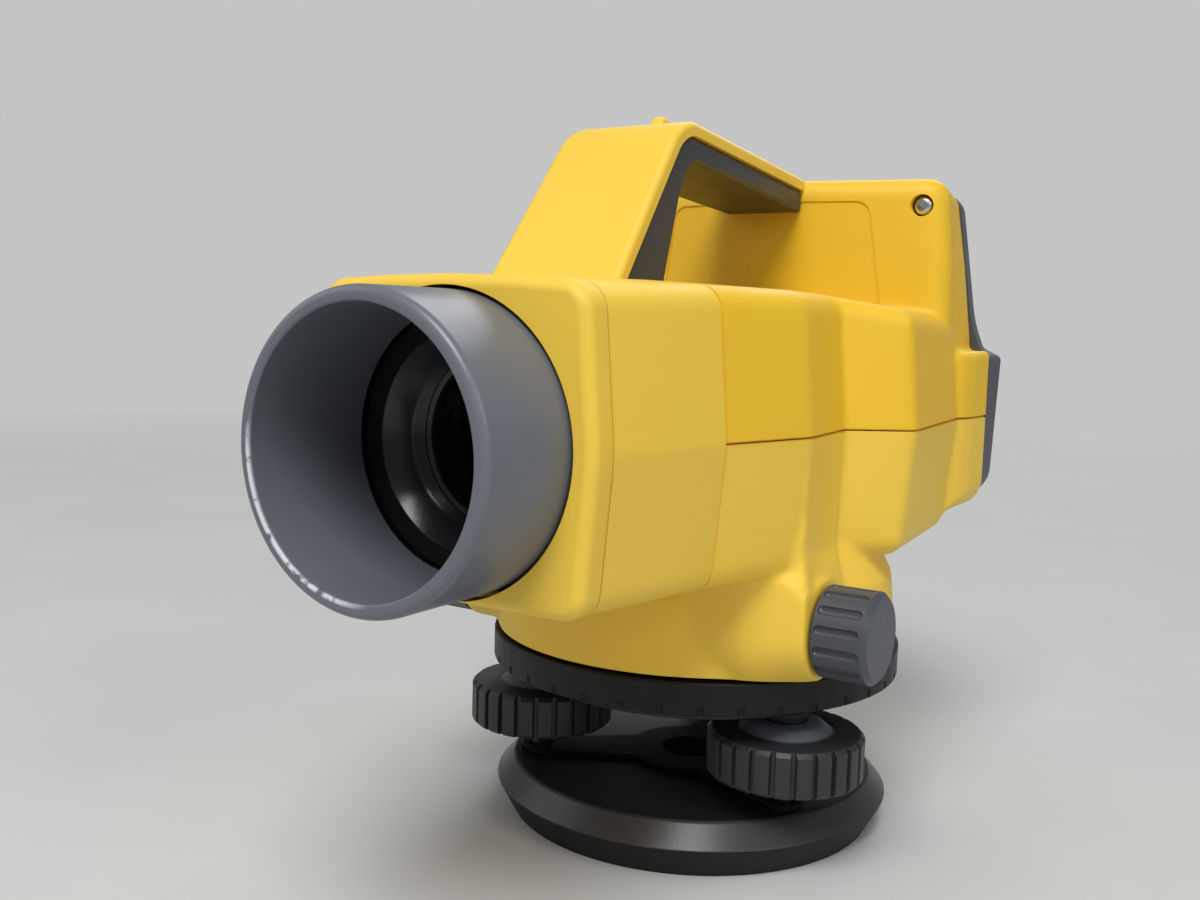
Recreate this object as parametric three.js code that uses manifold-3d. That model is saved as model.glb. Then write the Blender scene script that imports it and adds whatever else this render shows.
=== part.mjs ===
// A digital level: an optical surveying level whose telescope reads a bar-coded staff,
// shown on a display at the rear, with a carrying handle and a three-screw foot.
//
// Units are millimetres. +Z is up, +Y points from the objective towards the eyepiece, and
// +X is the operator's left. The origin is on the vertical axis, in the plane of the
// tripod head on which the base plate stands.

import * as THREE from "three";
import { mergeVertices } from "three/addons/utils/BufferGeometryUtils.js";
import Module from "manifold-3d";

const wasm = await Module();
wasm.setup();

// Sizes that several pieces share

const sightHeight = 107.2; // the line of sight above the tripod head
const wall = 2.2; // thickness of the moulded covers
const gap = 0.3; // between neighbours that touch or slide
const overrun = 1; // how far a cutting tool runs past a face
const tinyRadius = 0.2; // the least rounding of a corner

// How many straight sides stand for a full round, by the size of the round

const ringSides = 48;
const roundSides = 32;
const smallSides = 20;
const pinSides = 12;
const cornerSteps = 3;

// The body's outline, as places along the sight line and half widths at the parting line

const bezelFrontY = -108.9;
const ringFrontY = -101.9;
const coverFrontY = -65.2;
const shoulderY = -36.7;
const waistY = -10.3;
const hipY = 1.6;
const panelEndY = 49.3;
const coverRearY = 73.2;
const noseHalfWidth = 35.9;
const coverFrontHalfWidth = 40.4;
const shoulderHalfWidth = 47.6;
const waistHalfWidth = 45.0;
const hipHalfWidth = 59.0;
const panelHalfWidth = 54.5;
const rearHalfWidth = 51.0;
const noseRise = 33.4; // roof above the sight line at the nose
const deckRise = 34.4; // roof above the sight line along the deck
const hipRise = 31.6; // the same at the hip
const rearRise = 30.4; // the same at the rear
const noseDrop = 31.4; // belly below the sight line at the nose
const bellyDrop = 32.2; // the same along the body
const rearDrop = 28.4; // the same at the rear
const sideDraftShare = 0.085; // how much the sides lean in, per unit of height
const bodyCorner = 5.0; // rounding of the long edges
const roofCrown = 2.2; // how much the roof falls from its middle to its sides
const roofCrownShares = [0.5];

// The rib at each rear corner, and the display tower behind the handle

const ribHalfWidth = 56.0;
const ribFrontY = 51.5;
const ribTopRise = 19.2;
const ribDrop = 27.6;
const ribCorner = 4.5;
const ribInnerX = 44.0;
const ribRoundInsetShares = [0.8, 0.25, 0];
const ribRoundDepthShares = [0, 0.35, 1];
const towerFrontY = 33.3;
const towerSweep = 7.5; // how far the front falls back from its middle to its corners
const towerFlatHalf = 13.0;
const towerFootRise = 24.0;
const towerWaistRise = 44.0;
const towerShoulderRise = 61.6;
const towerTopRise = 66.6;
const towerFrontHalfFoot = 53.0;
const towerFrontHalfWaist = 52.6;
const towerFrontHalfShoulder = 51.5;
const towerRearHalfFoot = 49.8;
const towerRearHalfWaist = 47.4;
const towerRearHalfShoulder = 44.6;
const towerCorner = 6.0;
const towerScrewX = 45.6;
const towerScrewRise = 59.0;
const towerScrewRadius = 3.3;
const towerScrewLength = 5.0;
const towerScrewSocket = 1.3;

// The handle

const handleFootFrontY = -72.3;
const handleFootRise = 35.0;
const handlePeakY = -43.6;
const handlePeakRise = 72.2;
const handleEndRise = 66.8;
const handleFootHalfWidth = 16.9;
const handlePeakHalfWidth = 15.3;
const handleEndHalfWidth = 12.3;
const handleSkin = 3.4; // depth of the moulded cap over the grip
const handlePeakRadius = 9.0;
const gripInnerFootY = -50.2;
const gripInnerKneeY = -43.9;
const gripInnerKneeRise = 55.0;
const gripInnerBendY = -29.0;
const gripInnerBendRise = 62.6;
const gripEndRise = 57.2;
const gripBendRadius = 6.0;
const gripSetIn = 0.6;
const peepY = -27.7;
const peepRise = 75.2;
const peepHalfWidth = 2.4;
const peepHalfLength = 5.0;
const peepTopHalfLength = 2.0;

// The nose: bezel, hood and objective

const bezelHoleRadius = 31.2;
const bezelRound = 2.6;
const bezelRoundDepthShares = [0, 0.35, 1];
const bezelRoundInsetShares = [1, 0.4, 0];
const hoodFrontY = -133.2;
const hoodRearY = -102.7;
const hoodRadius = 30.4;
const hoodBore = 27.25;
const hoodLip = 0.8;
const barrelRadius = 28.6;
const barrelBore = 27.3;
const barrelRearY = -76.4;
const barrelFloor = 2.6;
const tubeRadius = 24.5;
const tubeWall = 2.2;
const tubeBore = tubeRadius - tubeWall;
const tubeRearY = 46.0;
const cellFrontY = -101.4;
const cellRearY = -79.9;
const cellFaceBore = 22.8;
const cellConeY = -96.8;
const cellThroatBore = 18.8;
const cellStepLength = 2.2;
const cellStep = 0.4;
const lensRadius = 17.7;
const lensFrontY = -89.2;
const lensRearY = -82.0;
const lensBulge = 2.4;

// The focusing drive

const focusY = 22.0;
const focusKnobRadius = 17.0;
const focusKnobStandoff = 0.92075; // from the covers beside the edge of the knob nearest the hip
const focusKnobLength = 19.6;
const focusKnobEdgeShare = (focusY - focusKnobRadius - hipY) / (panelEndY - hipY);
const focusKnobEdgeHalf = hipHalfWidth + (panelHalfWidth - hipHalfWidth) * focusKnobEdgeShare;
const focusKnobInnerX = -focusKnobEdgeHalf - focusKnobStandoff;
const focusKnobOuterX = focusKnobInnerX - focusKnobLength;
const focusKnobChamfer = 2.0;
const focusGripDepth = 1.1;
const focusGripCount = 16;
const focusShaftRadius = 3.0;
const focusShaftDepth = 14.4; // how far the shaft goes into the knob
const focusShaftEndX = focusKnobInnerX - focusShaftDepth;
const pinionStandoff = 2.1; // from the telescope tube
const pinionInnerX = -tubeRadius - pinionStandoff;
const pinionWidth = 4.6;
const toothPitchRadius = 4.8;
const pinionTeeth = 12;
const toothHeight = 1.1; // from root to tip
const toothTipShare = 0.2; // of the tooth pitch
const toothRootShare = 0.42;
const toothRootGap = 0.35;
const rackLength = 34.0;
const rackDepth = 3.2;
const focusTravel = 12.6;
const carriageClearance = 0.4;
const carriageWall = 2.4;
const carriageRadius = tubeBore - carriageClearance;
const carriageBore = carriageRadius - carriageWall;
const carriageLength = 28.0;
const lugLength = 14.0;
const lugThickness = 2.6;
const focusLensThickness = 4.0;
const focusLensHollow = 1.3;

// The compensator, the beam splitter and the line sensor

const compensatorFrontY = 51.2;
const compensatorRearY = 61.6;
const compensatorHalfWidth = 19.0;
const compensatorRise = 18.0;
const compensatorDrop = 18.0;
const compensatorBar = 3.4;
const pendulumHalfWidth = 8.0;
const pendulumHalfDepth = 3.6;
const pendulumDrop = 7.5;
const splitterFrontY = 62.4;
const splitterHalfSize = 6.8;
const sensorHalfWidth = 12.0;
const sensorThickness = 1.6;

// The chassis under the telescope

const chassisHalfWidth = 23.0;
const chassisFrontY = -62.0;
const chassisRearY = 72.6;
const chassisThickness = 3.2;
const saddleHalfWidth = 16.0;
const saddleLength = 8.0;
const saddlePlaces = [-56.0, -30.0, 38.0];
const chassisBossRadius = 28.0;
const postHalfWidth = 6.4;

// The rear panel, its display and its keys

const rearPanelY = 87.0;
const rearPanelHalfWidth = 57.0;
const rearPanelFootHalfWidth = 55.4;
const rearPanelDrop = 25.6;
const rearPanelShoulderRise = 17.4;
const rearPanelStepHalfWidth = 53.6;
const rearPanelStepRise = 20.0;
const rearPanelNeckHalfWidth = 50.6;
const rearPanelNeckRise = 28.0;
const rearPanelTopHalfWidth = 44.8;
const rearPanelFootRound = 9.0;
const rearPanelShoulderRound = 2.5;
const rearPanelTopRound = 7.0;
const rearPanelLean = 2.4; // how much the panel's upper part narrows towards the rear
const rearPanelRound = 3.2;
const rearPanelRoundInsetShares = [0, 0.35, 1];
const rearPanelRoundDepthShares = [1, 0.35, 0];
const windowHalfWidth = 31.0;
const windowDrop = 31.8; // lower edge above the sight line
const windowRise = 57.6; // upper edge above the sight line
const windowThickness = 1.8;
const windowLedge = 2.0;
const lcdThickness = 4.6;
const lcdMargin = 1.6;
const keyHalfWidth = 5.6;
const keyHalfHeight = 4.0;
const keyRound = 1.6;
const keyProud = 1.6;
const keyLength = 5.2;
const keyRim = 0.8;
const keyRimThickness = 1.0;
const keyOuterEdge = 48.6; // from the middle of the panel to the far side of the outer keys
const keySpacing = 3.2;
const keyOuterX = keyOuterEdge - keyHalfWidth;
const keyInnerX = keyOuterX - 2 * keyHalfWidth - keySpacing;
const keyColumns = [-keyOuterX, -keyInnerX, keyInnerX, keyOuterX];
const keyRows = [-7.2, 7.2];
const boardHalfWidth = 46.2;
const boardDrop = 20.0;
const boardRise = 25.5;
const boardRearY = 78.6;
const boardThickness = 1.6;
const boardHole = 17.4;

// The eyepiece

const eyeTubeRadius = 13.4;
const eyeTubeBore = 11.6;
const eyeTubeFrontY = 79.4;
const eyeTubeRearY = 103.0;
const eyeFlangeRadius = 16.8;
const eyeFlangeThickness = 2.0;
const dioptreRadius = 16.4;
const dioptreRearY = 104.6;
const dioptreGripCount = 28;
const dioptreGripDepth = 0.7;
const eyeCellRadius = 11.2;
const eyeCellBore = 8.4;
const eyeCellFrontY = 82.0;
const eyeCellRearY = 107.0;
const eyeLensThickness = 3.0;
const eyecupRearY = 123.8;
const eyecupRadius = 17.2;
const eyecupNeckRadius = 15.4;
const eyecupWall = 2.0;

// The lower housing's skirt and the bosses of the fine-motion drive

const skirtFootHeight = 50.2;
const skirtFootRadius = 53.9;
const skirtShoulderRadius = 52.2;
const skirtShoulderHeight = 68.0;
const skirtTopRadius = 46.0;
const skirtWall = 2.6;
const skirtRound = 0.8;
const floorHole = 31.0;
const wormY = -30.0;
const wormHeight = 62.1;
const bossRadius = 12.0;
const bossFootRadius = 17.0;
const plainBossRadius = 11.4; // on the right, where the boss doesn't spread
const bossFootX = 36.0;
const bossRampX = 47.3; // where the left boss's top starts to fall
const bossRampHeight = 82.0;
const bossEndX = 49.9;
const bossEndHeight = 71.0;
const wormShaftRadius = 2.6;
const wormRadius = 4.9;
const wormRootRadius = 3.5;
const wormHalfLength = 6.4;
const wormPitch = 3.2;
const wormThreadShare = 0.3; // of the pitch, at the crest
const wormWheelTeeth = 50;
const wormWheelThickness = 5.0;
const wormToothDepth = 1.3;
const wormToothSlotShare = 0.66;
const wormMeshDepth = 0.5;
const fineKnobRadius = 10.8;
const fineKnobLength = 13.5;
const fineKnobChamfer = 1.6;
const fineKnobGrooves = 14;
const fineKnobGrooveRadius = 0.9;
const fineKnobPlainEnd = 4.2;

// The levelling head and the horizontal circle

const headUnderside = 38.4;
const headThickness = 3.4;
const headRadius = 48.4;
const hubRadius = 21.6;
const hubTopHeight = 66.0;
const bushRadius = 12.4;
const spindleRadius = 9.0;
const spindleFootHeight = 44.0;
const spindleFlangeRadius = 15.0;
const spindleFlangeThickness = 3.6;
const circleRadius = 55.0;
const circleBore = 49.2;
const circleFoot = 41.2;
const circleTop = 49.3;

// The foot screws, the spring plate and the base plate

const footCircleRadius = 41.6;
const footFirstAngle = 92.3; // degrees from +X, for the screw that carries the tilt
const footCount = 3;
const footKnobRadius = 19.4;
const footKnobBottom = 21.8;
const footKnobTop = 33.0;
const footKnobRibs = 24;
const footRibDepth = 1.3;
const footRibFloorShare = 0.28; // of one rib's angle, on each side of a groove
const footRibRampShare = 0.12;
const collarFootRadius = 11.6;
const collarTopRadius = 8.2;
const collarTop = 35.4;
const spindleNeckRadius = 2.7;
const footSpindleRadius = 4.0;
const footBallRadius = 4.1;
const footBallHeight = 11.2;
const footNeckTop = 20.0;
const footSpindleTop = 45.4;
const footBossRadius = 6.6;
const footBossTop = 48.6;
const basePlateFootRadius = 49.2;
const basePlateRimRadius = 53.4;
const basePlateTopRadius = 46.8;
const basePlateRimHeight = 8.0;
const basePlateHeight = 13.6;
const basePlateLip = 1.6;
const basePlateLipDepth = 0.5;
const basePlateHole = 7.9;
const footPocketRadius = 4.9;
const springPlateThickness = 1.1;
const springPlateRadius = 9.5;
const springPlateHole = 3.5;
const springPlateHub = 17.0;

// The battery, its door, the measuring key, the connector and the circular level

const doorFrontY = 40.0;
const doorRearY = 72.4;
const doorDrop = 25.0;
const doorTopDrop = 5.0;
const doorClear = 0.55;
const batteryDepth = 20.0;
const batterySetIn = 2.6;
const measureY = 44.0;
const measureRise = 13.0;
const measureRadius = 5.8;
const measureProud = 2.4;
const measureLength = 8.0;
const connectorY = -50.0;
const connectorDrop = 13.0;
const connectorRadius = 6.0;
const connectorProud = 1.4;
const connectorLength = 8.0;
const connectorWall = 1.3;
const levelX = -40.0;
const levelY = 6.0;
const levelHalfSize = 10.6;
const levelBaseRise = 38.6;
const vialRadius = 8.0;
const vialHeight = 3.6;
const mirrorLength = 16.0;
const mirrorThickness = 1.8;
const mirrorHingeOffset = 1.6;
const mirrorHingeRise = 42.6;
const mirrorAngle = 60; // degrees above the deck

// Colours

const yellow = { color: 0xe8b92e, roughness: 0.5, metalness: 0.0 };
const slate = { color: 0x4b4f58, roughness: 0.6, metalness: 0.0 };
const black = { color: 0x161618, roughness: 0.45, metalness: 0.0 };
const rubber = { color: 0x1d1d1f, roughness: 0.9, metalness: 0.0 };
const anodised = { color: 0x1b1b1d, roughness: 0.4, metalness: 0.6 };
const steel = { color: 0xb8babd, roughness: 0.3, metalness: 1.0 };
const alloy = { color: 0x9a9da1, roughness: 0.5, metalness: 0.9 };
const brass = { color: 0xb89a4a, roughness: 0.35, metalness: 1.0 };
const glass = { color: 0x9fb0c8, roughness: 0.05, metalness: 0.0 };
const circuit = { color: 0x1f5a3a, roughness: 0.6, metalness: 0.0 };

// Geometry helpers

// The signed volume of an indexed triangle mesh, positive when its faces point out.
function signedVolume(positions, triangles) {
  const a = new THREE.Vector3();
  const b = new THREE.Vector3();
  const c = new THREE.Vector3();
  let volume = 0;
  for (let i = 0; i < triangles.length; i += 3) {
    a.fromArray(positions, 3 * triangles[i]);
    b.fromArray(positions, 3 * triangles[i + 1]);
    c.fromArray(positions, 3 * triangles[i + 2]);
    volume += a.dot(b.cross(c));
  }
  return volume;
}

// A closed geometry as a solid that can be joined and cut.
function toSolid(geometry) {
  const bare = geometry.clone();
  bare.deleteAttribute("normal");
  bare.deleteAttribute("uv");
  const merged = mergeVertices(bare);
  const positions = merged.attributes.position.array;
  const source = merged.index.array;
  const kept = [];
  for (let i = 0; i < source.length; i += 3) {
    const [a, b, c] = [source[i], source[i + 1], source[i + 2]];
    if (a !== b && b !== c && c !== a) kept.push(a, b, c);
  }
  if (signedVolume(positions, kept) < 0) kept.reverse();
  const mesh = new wasm.Mesh({
    numProp: 3,
    vertProperties: new Float32Array(positions),
    triVerts: new Uint32Array(kept),
  });
  return new wasm.Manifold(mesh);
}

// A solid as a geometry that three.js can show.
function toGeometry(solid) {
  const mesh = solid.getMesh();
  const geometry = new THREE.BufferGeometry();
  const positions = new THREE.BufferAttribute(mesh.vertProperties, 3);
  geometry.setAttribute("position", positions);
  geometry.setIndex(new THREE.BufferAttribute(mesh.triVerts, 1));
  const flat = geometry.toNonIndexed();
  flat.computeVertexNormals();
  return flat;
}

function join(...solids) {
  return solids.reduce((whole, solid) => whole.add(solid));
}

function cut(solid, ...tools) {
  return tools.reduce((rest, tool) => rest.subtract(tool), solid);
}

// A solid of revolution. The profile is a list of [radius, place along the axis].
function turned(axis, profile, segments) {
  const points = profile.map(([radius, along]) => new THREE.Vector2(radius, along));
  const geometry = new THREE.LatheGeometry(points, segments);
  if (axis === "z") geometry.rotateX(Math.PI / 2);
  if (axis === "x") geometry.rotateZ(-Math.PI / 2);
  return toSolid(geometry);
}

// A plain round bar along an axis, from one place to another, centred on the other two.
function bar(axis, radius, from, to, centre, segments = smallSides) {
  const profile = [
    [0, from],
    [radius, from],
    [radius, to],
    [0, to],
  ];
  return turned(axis, profile, segments).translate(centre);
}

// A round tube along an axis.
function pipe(axis, radius, bore, from, to, centre, segments = roundSides) {
  const profile = [
    [bore, from],
    [radius, from],
    [radius, to],
    [bore, to],
    [bore, from],
  ];
  return turned(axis, profile, segments).translate(centre);
}

function block(x0, x1, y0, y1, z0, z1) {
  const geometry = new THREE.BoxGeometry(x1 - x0, y1 - y0, z1 - z0);
  geometry.translate((x0 + x1) / 2, (y0 + y1) / 2, (z0 + z1) / 2);
  return toSolid(geometry);
}

// An outline whose corners are [a, b, radius]. One with no radius stays sharp.
function roundedLoop(corners, steps) {
  const loop = [];
  corners.forEach(([a, b, radius], i) => {
    const corner = new THREE.Vector2(a, b);
    if (radius === 0) {
      loop.push(corner);
      return;
    }
    const [pa, pb] = corners[(i + corners.length - 1) % corners.length];
    const [na, nb] = corners[(i + 1) % corners.length];
    const back = new THREE.Vector2(pa, pb).sub(corner).normalize();
    const on = new THREE.Vector2(na, nb).sub(corner).normalize();
    const halfAngle = Math.acos(THREE.MathUtils.clamp(back.dot(on), -1, 1)) / 2;
    const reach = radius / Math.tan(halfAngle);
    const start = corner.clone().addScaledVector(back, reach);
    const end = corner.clone().addScaledVector(on, reach);
    const curve = new THREE.QuadraticBezierCurve(start, corner, end);
    for (let k = 0; k <= steps; k += 1) loop.push(curve.getPoint(k / steps));
  });
  return loop;
}

// A closed skin through loops of equal length, each a list of 3-D points, with flat ends.
function loft(loops) {
  const count = loops[0].length;
  const triangles = [];
  for (let row = 0; row + 1 < loops.length; row += 1) {
    for (let i = 0; i < count; i += 1) {
      const j = (i + 1) % count;
      const [a, b] = [row * count + i, row * count + j];
      const [c, d] = [a + count, b + count];
      triangles.push(a, b, d, a, d, c);
    }
  }
  const last = loops.length - 1;
  for (const [a, b, c] of endFaces(loops[0])) triangles.push(c, b, a);
  for (const face of endFaces(loops[last])) {
    triangles.push(...face.map((index) => index + last * count));
  }
  const geometry = new THREE.BufferGeometry();
  geometry.setFromPoints(loops.flat());
  geometry.setIndex(triangles);
  return toSolid(geometry);
}

// The triangles that fill a plane loop, running the same way round as the loop does.
function endFaces(loop) {
  const axes = ["x", "y", "z"].filter((key) => loop.some((p) => p[key] !== loop[0][key]));
  const flat = loop.map((p) => new THREE.Vector2(p[axes[0]], p[axes[1]]));
  const faces = THREE.ShapeUtils.triangulateShape(flat, []);
  const first = faces[0].map((index) => flat[index]);
  const sameWay = THREE.ShapeUtils.area(first) * THREE.ShapeUtils.area(flat) > 0;
  return sameWay ? faces : faces.map(([a, b, c]) => [c, b, a]);
}

// A plate: an outline in two axes, run along the third.
function plate(axis, outline, from, to) {
  return loft([from, to].map((place) => outline.map((p) => placed(axis, p, place))));
}

function placed(axis, point, place) {
  if (axis === "x") return new THREE.Vector3(place, point.x, point.y);
  if (axis === "y") return new THREE.Vector3(point.x, place, point.y);
  return new THREE.Vector3(point.x, point.y, place);
}

const parts = new THREE.Group();

function addPart(name, solid, look) {
  const mesh = new THREE.Mesh(toGeometry(solid), new THREE.MeshStandardMaterial(look));
  mesh.name = name;
  parts.add(mesh);
}

const onSight = [0, 0, sightHeight];
const noShift = [0, 0, 0];

// The body shell: one skin through sections along the sight line

const bodyStations = [
  { y: ringFrontY, half: noseHalfWidth, rise: noseRise, drop: noseDrop },
  { y: coverFrontY, half: coverFrontHalfWidth, rise: deckRise, drop: bellyDrop },
  { y: shoulderY, half: shoulderHalfWidth, rise: deckRise, drop: bellyDrop },
  { y: waistY, half: waistHalfWidth, rise: deckRise, drop: bellyDrop },
  { y: hipY, half: hipHalfWidth, rise: hipRise, drop: bellyDrop },
  { y: panelEndY, half: panelHalfWidth, rise: rearRise, drop: bellyDrop },
  { y: coverRearY, half: rearHalfWidth, rise: rearRise, drop: rearDrop },
];

// One section, drawn inside the outer skin by an inset, or outside it by a negative one.
function bodySection({ y, half, rise, drop }, inset) {
  const side = half - inset;
  const up = rise - inset;
  const down = drop - inset;
  const round = Math.max(bodyCorner - inset, tinyRadius);
  const roofHalf = side - sideDraftShare * up;
  const crown = roofCrownShares.map((share) => [share * roofHalf, up - share ** 2 * roofCrown]);
  const corners = [
    [side, 0, 0],
    [roofHalf, up - roofCrown, round],
    ...crown.map(([x, rise]) => [x, rise, 0]),
    [0, up, 0],
    ...crown.map(([x, rise]) => [-x, rise, 0]).reverse(),
    [-roofHalf, up - roofCrown, round],
    [-side, 0, 0],
    [-side + sideDraftShare * down, -down, round],
    [side - sideDraftShare * down, -down, round],
  ];
  const loop = roundedLoop(corners, cornerSteps);
  return loop.map((p) => new THREE.Vector3(p.x, y, sightHeight + p.y));
}

// The whole skin; with open ends, its first and last sections run past the covers.
function bodySkin(inset, runsPast) {
  const stations = bodyStations.map((station) => ({ ...station }));
  if (runsPast) {
    stations[0].y -= overrun;
    stations[stations.length - 1].y += overrun;
  }
  return loft(stations.map((station) => bodySection(station, inset)));
}

// The tower: level outlines, wide at the front and narrower at the rear

const towerLevels = [
  { rise: towerFootRise, front: towerFrontHalfFoot, rear: towerRearHalfFoot, inset: 0 },
  { rise: towerWaistRise, front: towerFrontHalfWaist, rear: towerRearHalfWaist, inset: 0 },
  {
    rise: towerShoulderRise,
    front: towerFrontHalfShoulder,
    rear: towerRearHalfShoulder,
    inset: 0,
  },
];
const towerRoundShares = [
  { rise: 0.55, inset: 0.16 },
  { rise: 0.88, inset: 0.5 },
  { rise: 1, inset: 1 },
];
const towerRound = towerTopRise - towerShoulderRise;

function towerLoop({ rise, front, rear, inset }, shell, rearY) {
  const frontY = towerFrontY + inset + shell;
  const outerY = frontY + towerSweep;
  const corners = [
    [towerFlatHalf, frontY, 0],
    [front - inset - shell, outerY, Math.max(towerCorner - shell, tinyRadius)],
    [rear - inset - shell, rearY, 0],
    [-rear + inset + shell, rearY, 0],
    [-front + inset + shell, outerY, Math.max(towerCorner - shell, tinyRadius)],
    [-towerFlatHalf, frontY, 0],
  ];
  const loop = roundedLoop(corners, cornerSteps);
  return loop.map((p) => new THREE.Vector3(p.x, p.y, sightHeight + rise));
}

function towerSkin(shell, rearY, footRise) {
  const shoulder = towerLevels[towerLevels.length - 1];
  const rounding = towerRoundShares.map((share) => ({
    rise: shoulder.rise + share.rise * towerRound,
    front: shoulder.front,
    rear: shoulder.rear,
    inset: share.inset * towerRound,
  }));
  const levels = [...towerLevels, ...rounding].map((level) => ({ ...level }));
  levels[0].rise = footRise;
  for (const level of levels.slice(1)) level.rise -= shell;
  return loft(levels.map((level) => towerLoop(level, shell, rearY)));
}

// A rib: an upright block at one rear corner of the covers, rounded where it stands out.
function ribSolid(side, inset) {
  const loops = ribRoundInsetShares.map((share, i) => {
    const setIn = inset + share * ribCorner;
    const outer = ribHalfWidth - setIn;
    const corners = [
      [side * outer, ribTopRise - setIn, ribCorner - inset],
      [side * ribInnerX, ribTopRise - setIn, 0],
      [side * ribInnerX, -ribDrop + setIn, 0],
      [side * outer, -ribDrop + setIn, ribCorner - inset],
    ];
    const y = ribFrontY + inset + ribRoundDepthShares[i] * ribCorner;
    return ribLoop(corners, y);
  });
  const last = loops[loops.length - 1];
  loops.push(last.map((p) => new THREE.Vector3(p.x, coverRearY, p.z)));
  return loft(loops);
}

function ribLoop(corners, y) {
  const loop = roundedLoop(corners, cornerSteps);
  return loop.map((p) => new THREE.Vector3(p.x, y, p.y + sightHeight));
}

const outerSkin = bodySkin(0, false);
const innerSkin = bodySkin(wall, true);
const outsideOfSkin = bodySkin(-gap, false);
const farSide = 2 * rearPanelHalfWidth;
const aboveAll = sightHeight + 2 * towerTopRise;
const coversStartY = coverFrontY + gap / 2;

function slab(y0, y1, z0, z1) {
  return block(-farSide, farSide, y0, y1, z0, z1);
}

function ribs(inset) {
  return join(ribSolid(1, inset), ribSolid(-1, inset));
}

// Holes that pass through the covers' right side

const focusShaftHole = bar(
  "x",
  focusShaftRadius + gap,
  focusKnobInnerX - overrun,
  -tubeRadius,
  [0, focusY, sightHeight],
);

function sideHalfWidthAt(y) {
  const next = bodyStations.findIndex((station) => station.y >= y);
  const [from, to] = [bodyStations[next - 1], bodyStations[next]];
  return from.half + ((to.half - from.half) * (y - from.y)) / (to.y - from.y);
}

const measureFaceX = -sideHalfWidthAt(measureY) + sideDraftShare * measureRise;
const measureCentre = [0, measureY, sightHeight + measureRise];
const measureHole = bar(
  "x",
  measureRadius + gap,
  measureFaceX - measureProud - overrun,
  measureFaceX + 3 * wall,
  measureCentre,
);
const connectorFaceX = -sideHalfWidthAt(connectorY) + sideDraftShare * connectorDrop;
const connectorCentre = [0, connectorY, sightHeight - connectorDrop];
const connectorHole = bar(
  "x",
  connectorRadius + gap,
  connectorFaceX - connectorProud - overrun,
  connectorFaceX + 3 * wall,
  connectorCentre,
);

// Front ring and bezel

function makeFrontRing() {
  const span = slab(ringFrontY, coverFrontY - gap / 2, 0, aboveAll);
  return cut(outerSkin, innerSkin).intersect(span);
}

function makeFrontBezel() {
  const depth = ringFrontY - gap - bezelFrontY;
  const nose = bodyStations[0];
  const loops = bezelRoundInsetShares.map((share, i) => {
    const y = bezelFrontY + bezelRoundDepthShares[i] * bezelRound;
    return bodySection({ ...nose, y }, share * bezelRound);
  });
  loops.push(bodySection({ ...nose, y: bezelFrontY + depth }, 0));
  const hole = bar("y", bezelHoleRadius, bezelFrontY - overrun, ringFrontY, onSight, ringSides);
  return cut(loft(loops), hole);
}

addPart("front_ring", makeFrontRing(), yellow);
addPart("front_bezel", makeFrontBezel(), yellow);

// Upper cover with the display tower

function screwHole(side) {
  const x = side * towerScrewX;
  const front = towerFrontY;
  const depth = towerSweep + towerScrewLength + gap;
  return bar("y", towerScrewRadius + gap, front - overrun, front + depth, [
    x,
    0,
    sightHeight + towerScrewRise,
  ]);
}

function makeUpperCover() {
  const outside = join(outerSkin, towerSkin(0, coverRearY, towerFootRise), ribs(0));
  const inside = join(
    innerSkin,
    towerSkin(wall, coverRearY + overrun, 0),
    ribs(wall).translate([0, overrun, 0]),
  );
  const span = slab(coversStartY, coverRearY, sightHeight + gap / 2, aboveAll);
  const shell = cut(outside, inside).intersect(span);
  const bosses = [1, -1].map((side) => {
    const reach = towerFrontY + towerSweep + wall;
    const tall = [side * towerScrewX, 0, sightHeight + towerScrewRise];
    return bar("y", towerScrewRadius + wall, towerFrontY, reach + towerScrewLength, tall);
  });
  const kept = bosses.map((boss) => boss.intersect(towerSkin(0, coverRearY, towerFootRise)));
  return cut(
    join(shell, ...kept),
    screwHole(1),
    screwHole(-1),
    focusShaftHole,
    measureHole,
  );
}

addPart("upper_cover", makeUpperCover(), yellow);

function makeTowerScrew(side) {
  const from = towerFrontY + towerSweep - gap;
  const centre = [side * towerScrewX, 0, sightHeight + towerScrewRise];
  const body = bar("y", towerScrewRadius, from, from + towerScrewLength, centre, pinSides);
  const socket = bar("y", towerScrewSocket, from - overrun, from + overrun, centre, 6);
  return cut(body, socket);
}

addPart("tower_screw_left", makeTowerScrew(1), steel);
addPart("tower_screw_right", makeTowerScrew(-1), steel);

// Lower housing with its skirt, drive bosses and battery opening

const wormPlace = [0, wormY, wormHeight];
const floorHeight = sightHeight - bellyDrop;

function doorBlock(clear) {
  return block(
    -farSide,
    -sideHalfWidthAt(doorRearY) + 2 * wall,
    doorFrontY - clear,
    doorRearY + clear,
    sightHeight - doorDrop - clear,
    sightHeight - doorTopDrop + clear,
  );
}

function skirtProfile(inset) {
  const top = floorHeight + wall - inset;
  return [
    [0, skirtFootHeight - (inset ? overrun : 0)],
    [skirtFootRadius - inset - skirtRound, skirtFootHeight - (inset ? overrun : 0)],
    [skirtFootRadius - inset, skirtFootHeight + skirtRound],
    [skirtShoulderRadius - inset, skirtShoulderHeight],
    [(skirtShoulderRadius + skirtTopRadius) / 2 - inset, (skirtShoulderHeight + 2 * top) / 3],
    [skirtTopRadius - inset, top],
    [0, top],
  ];
}

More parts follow.
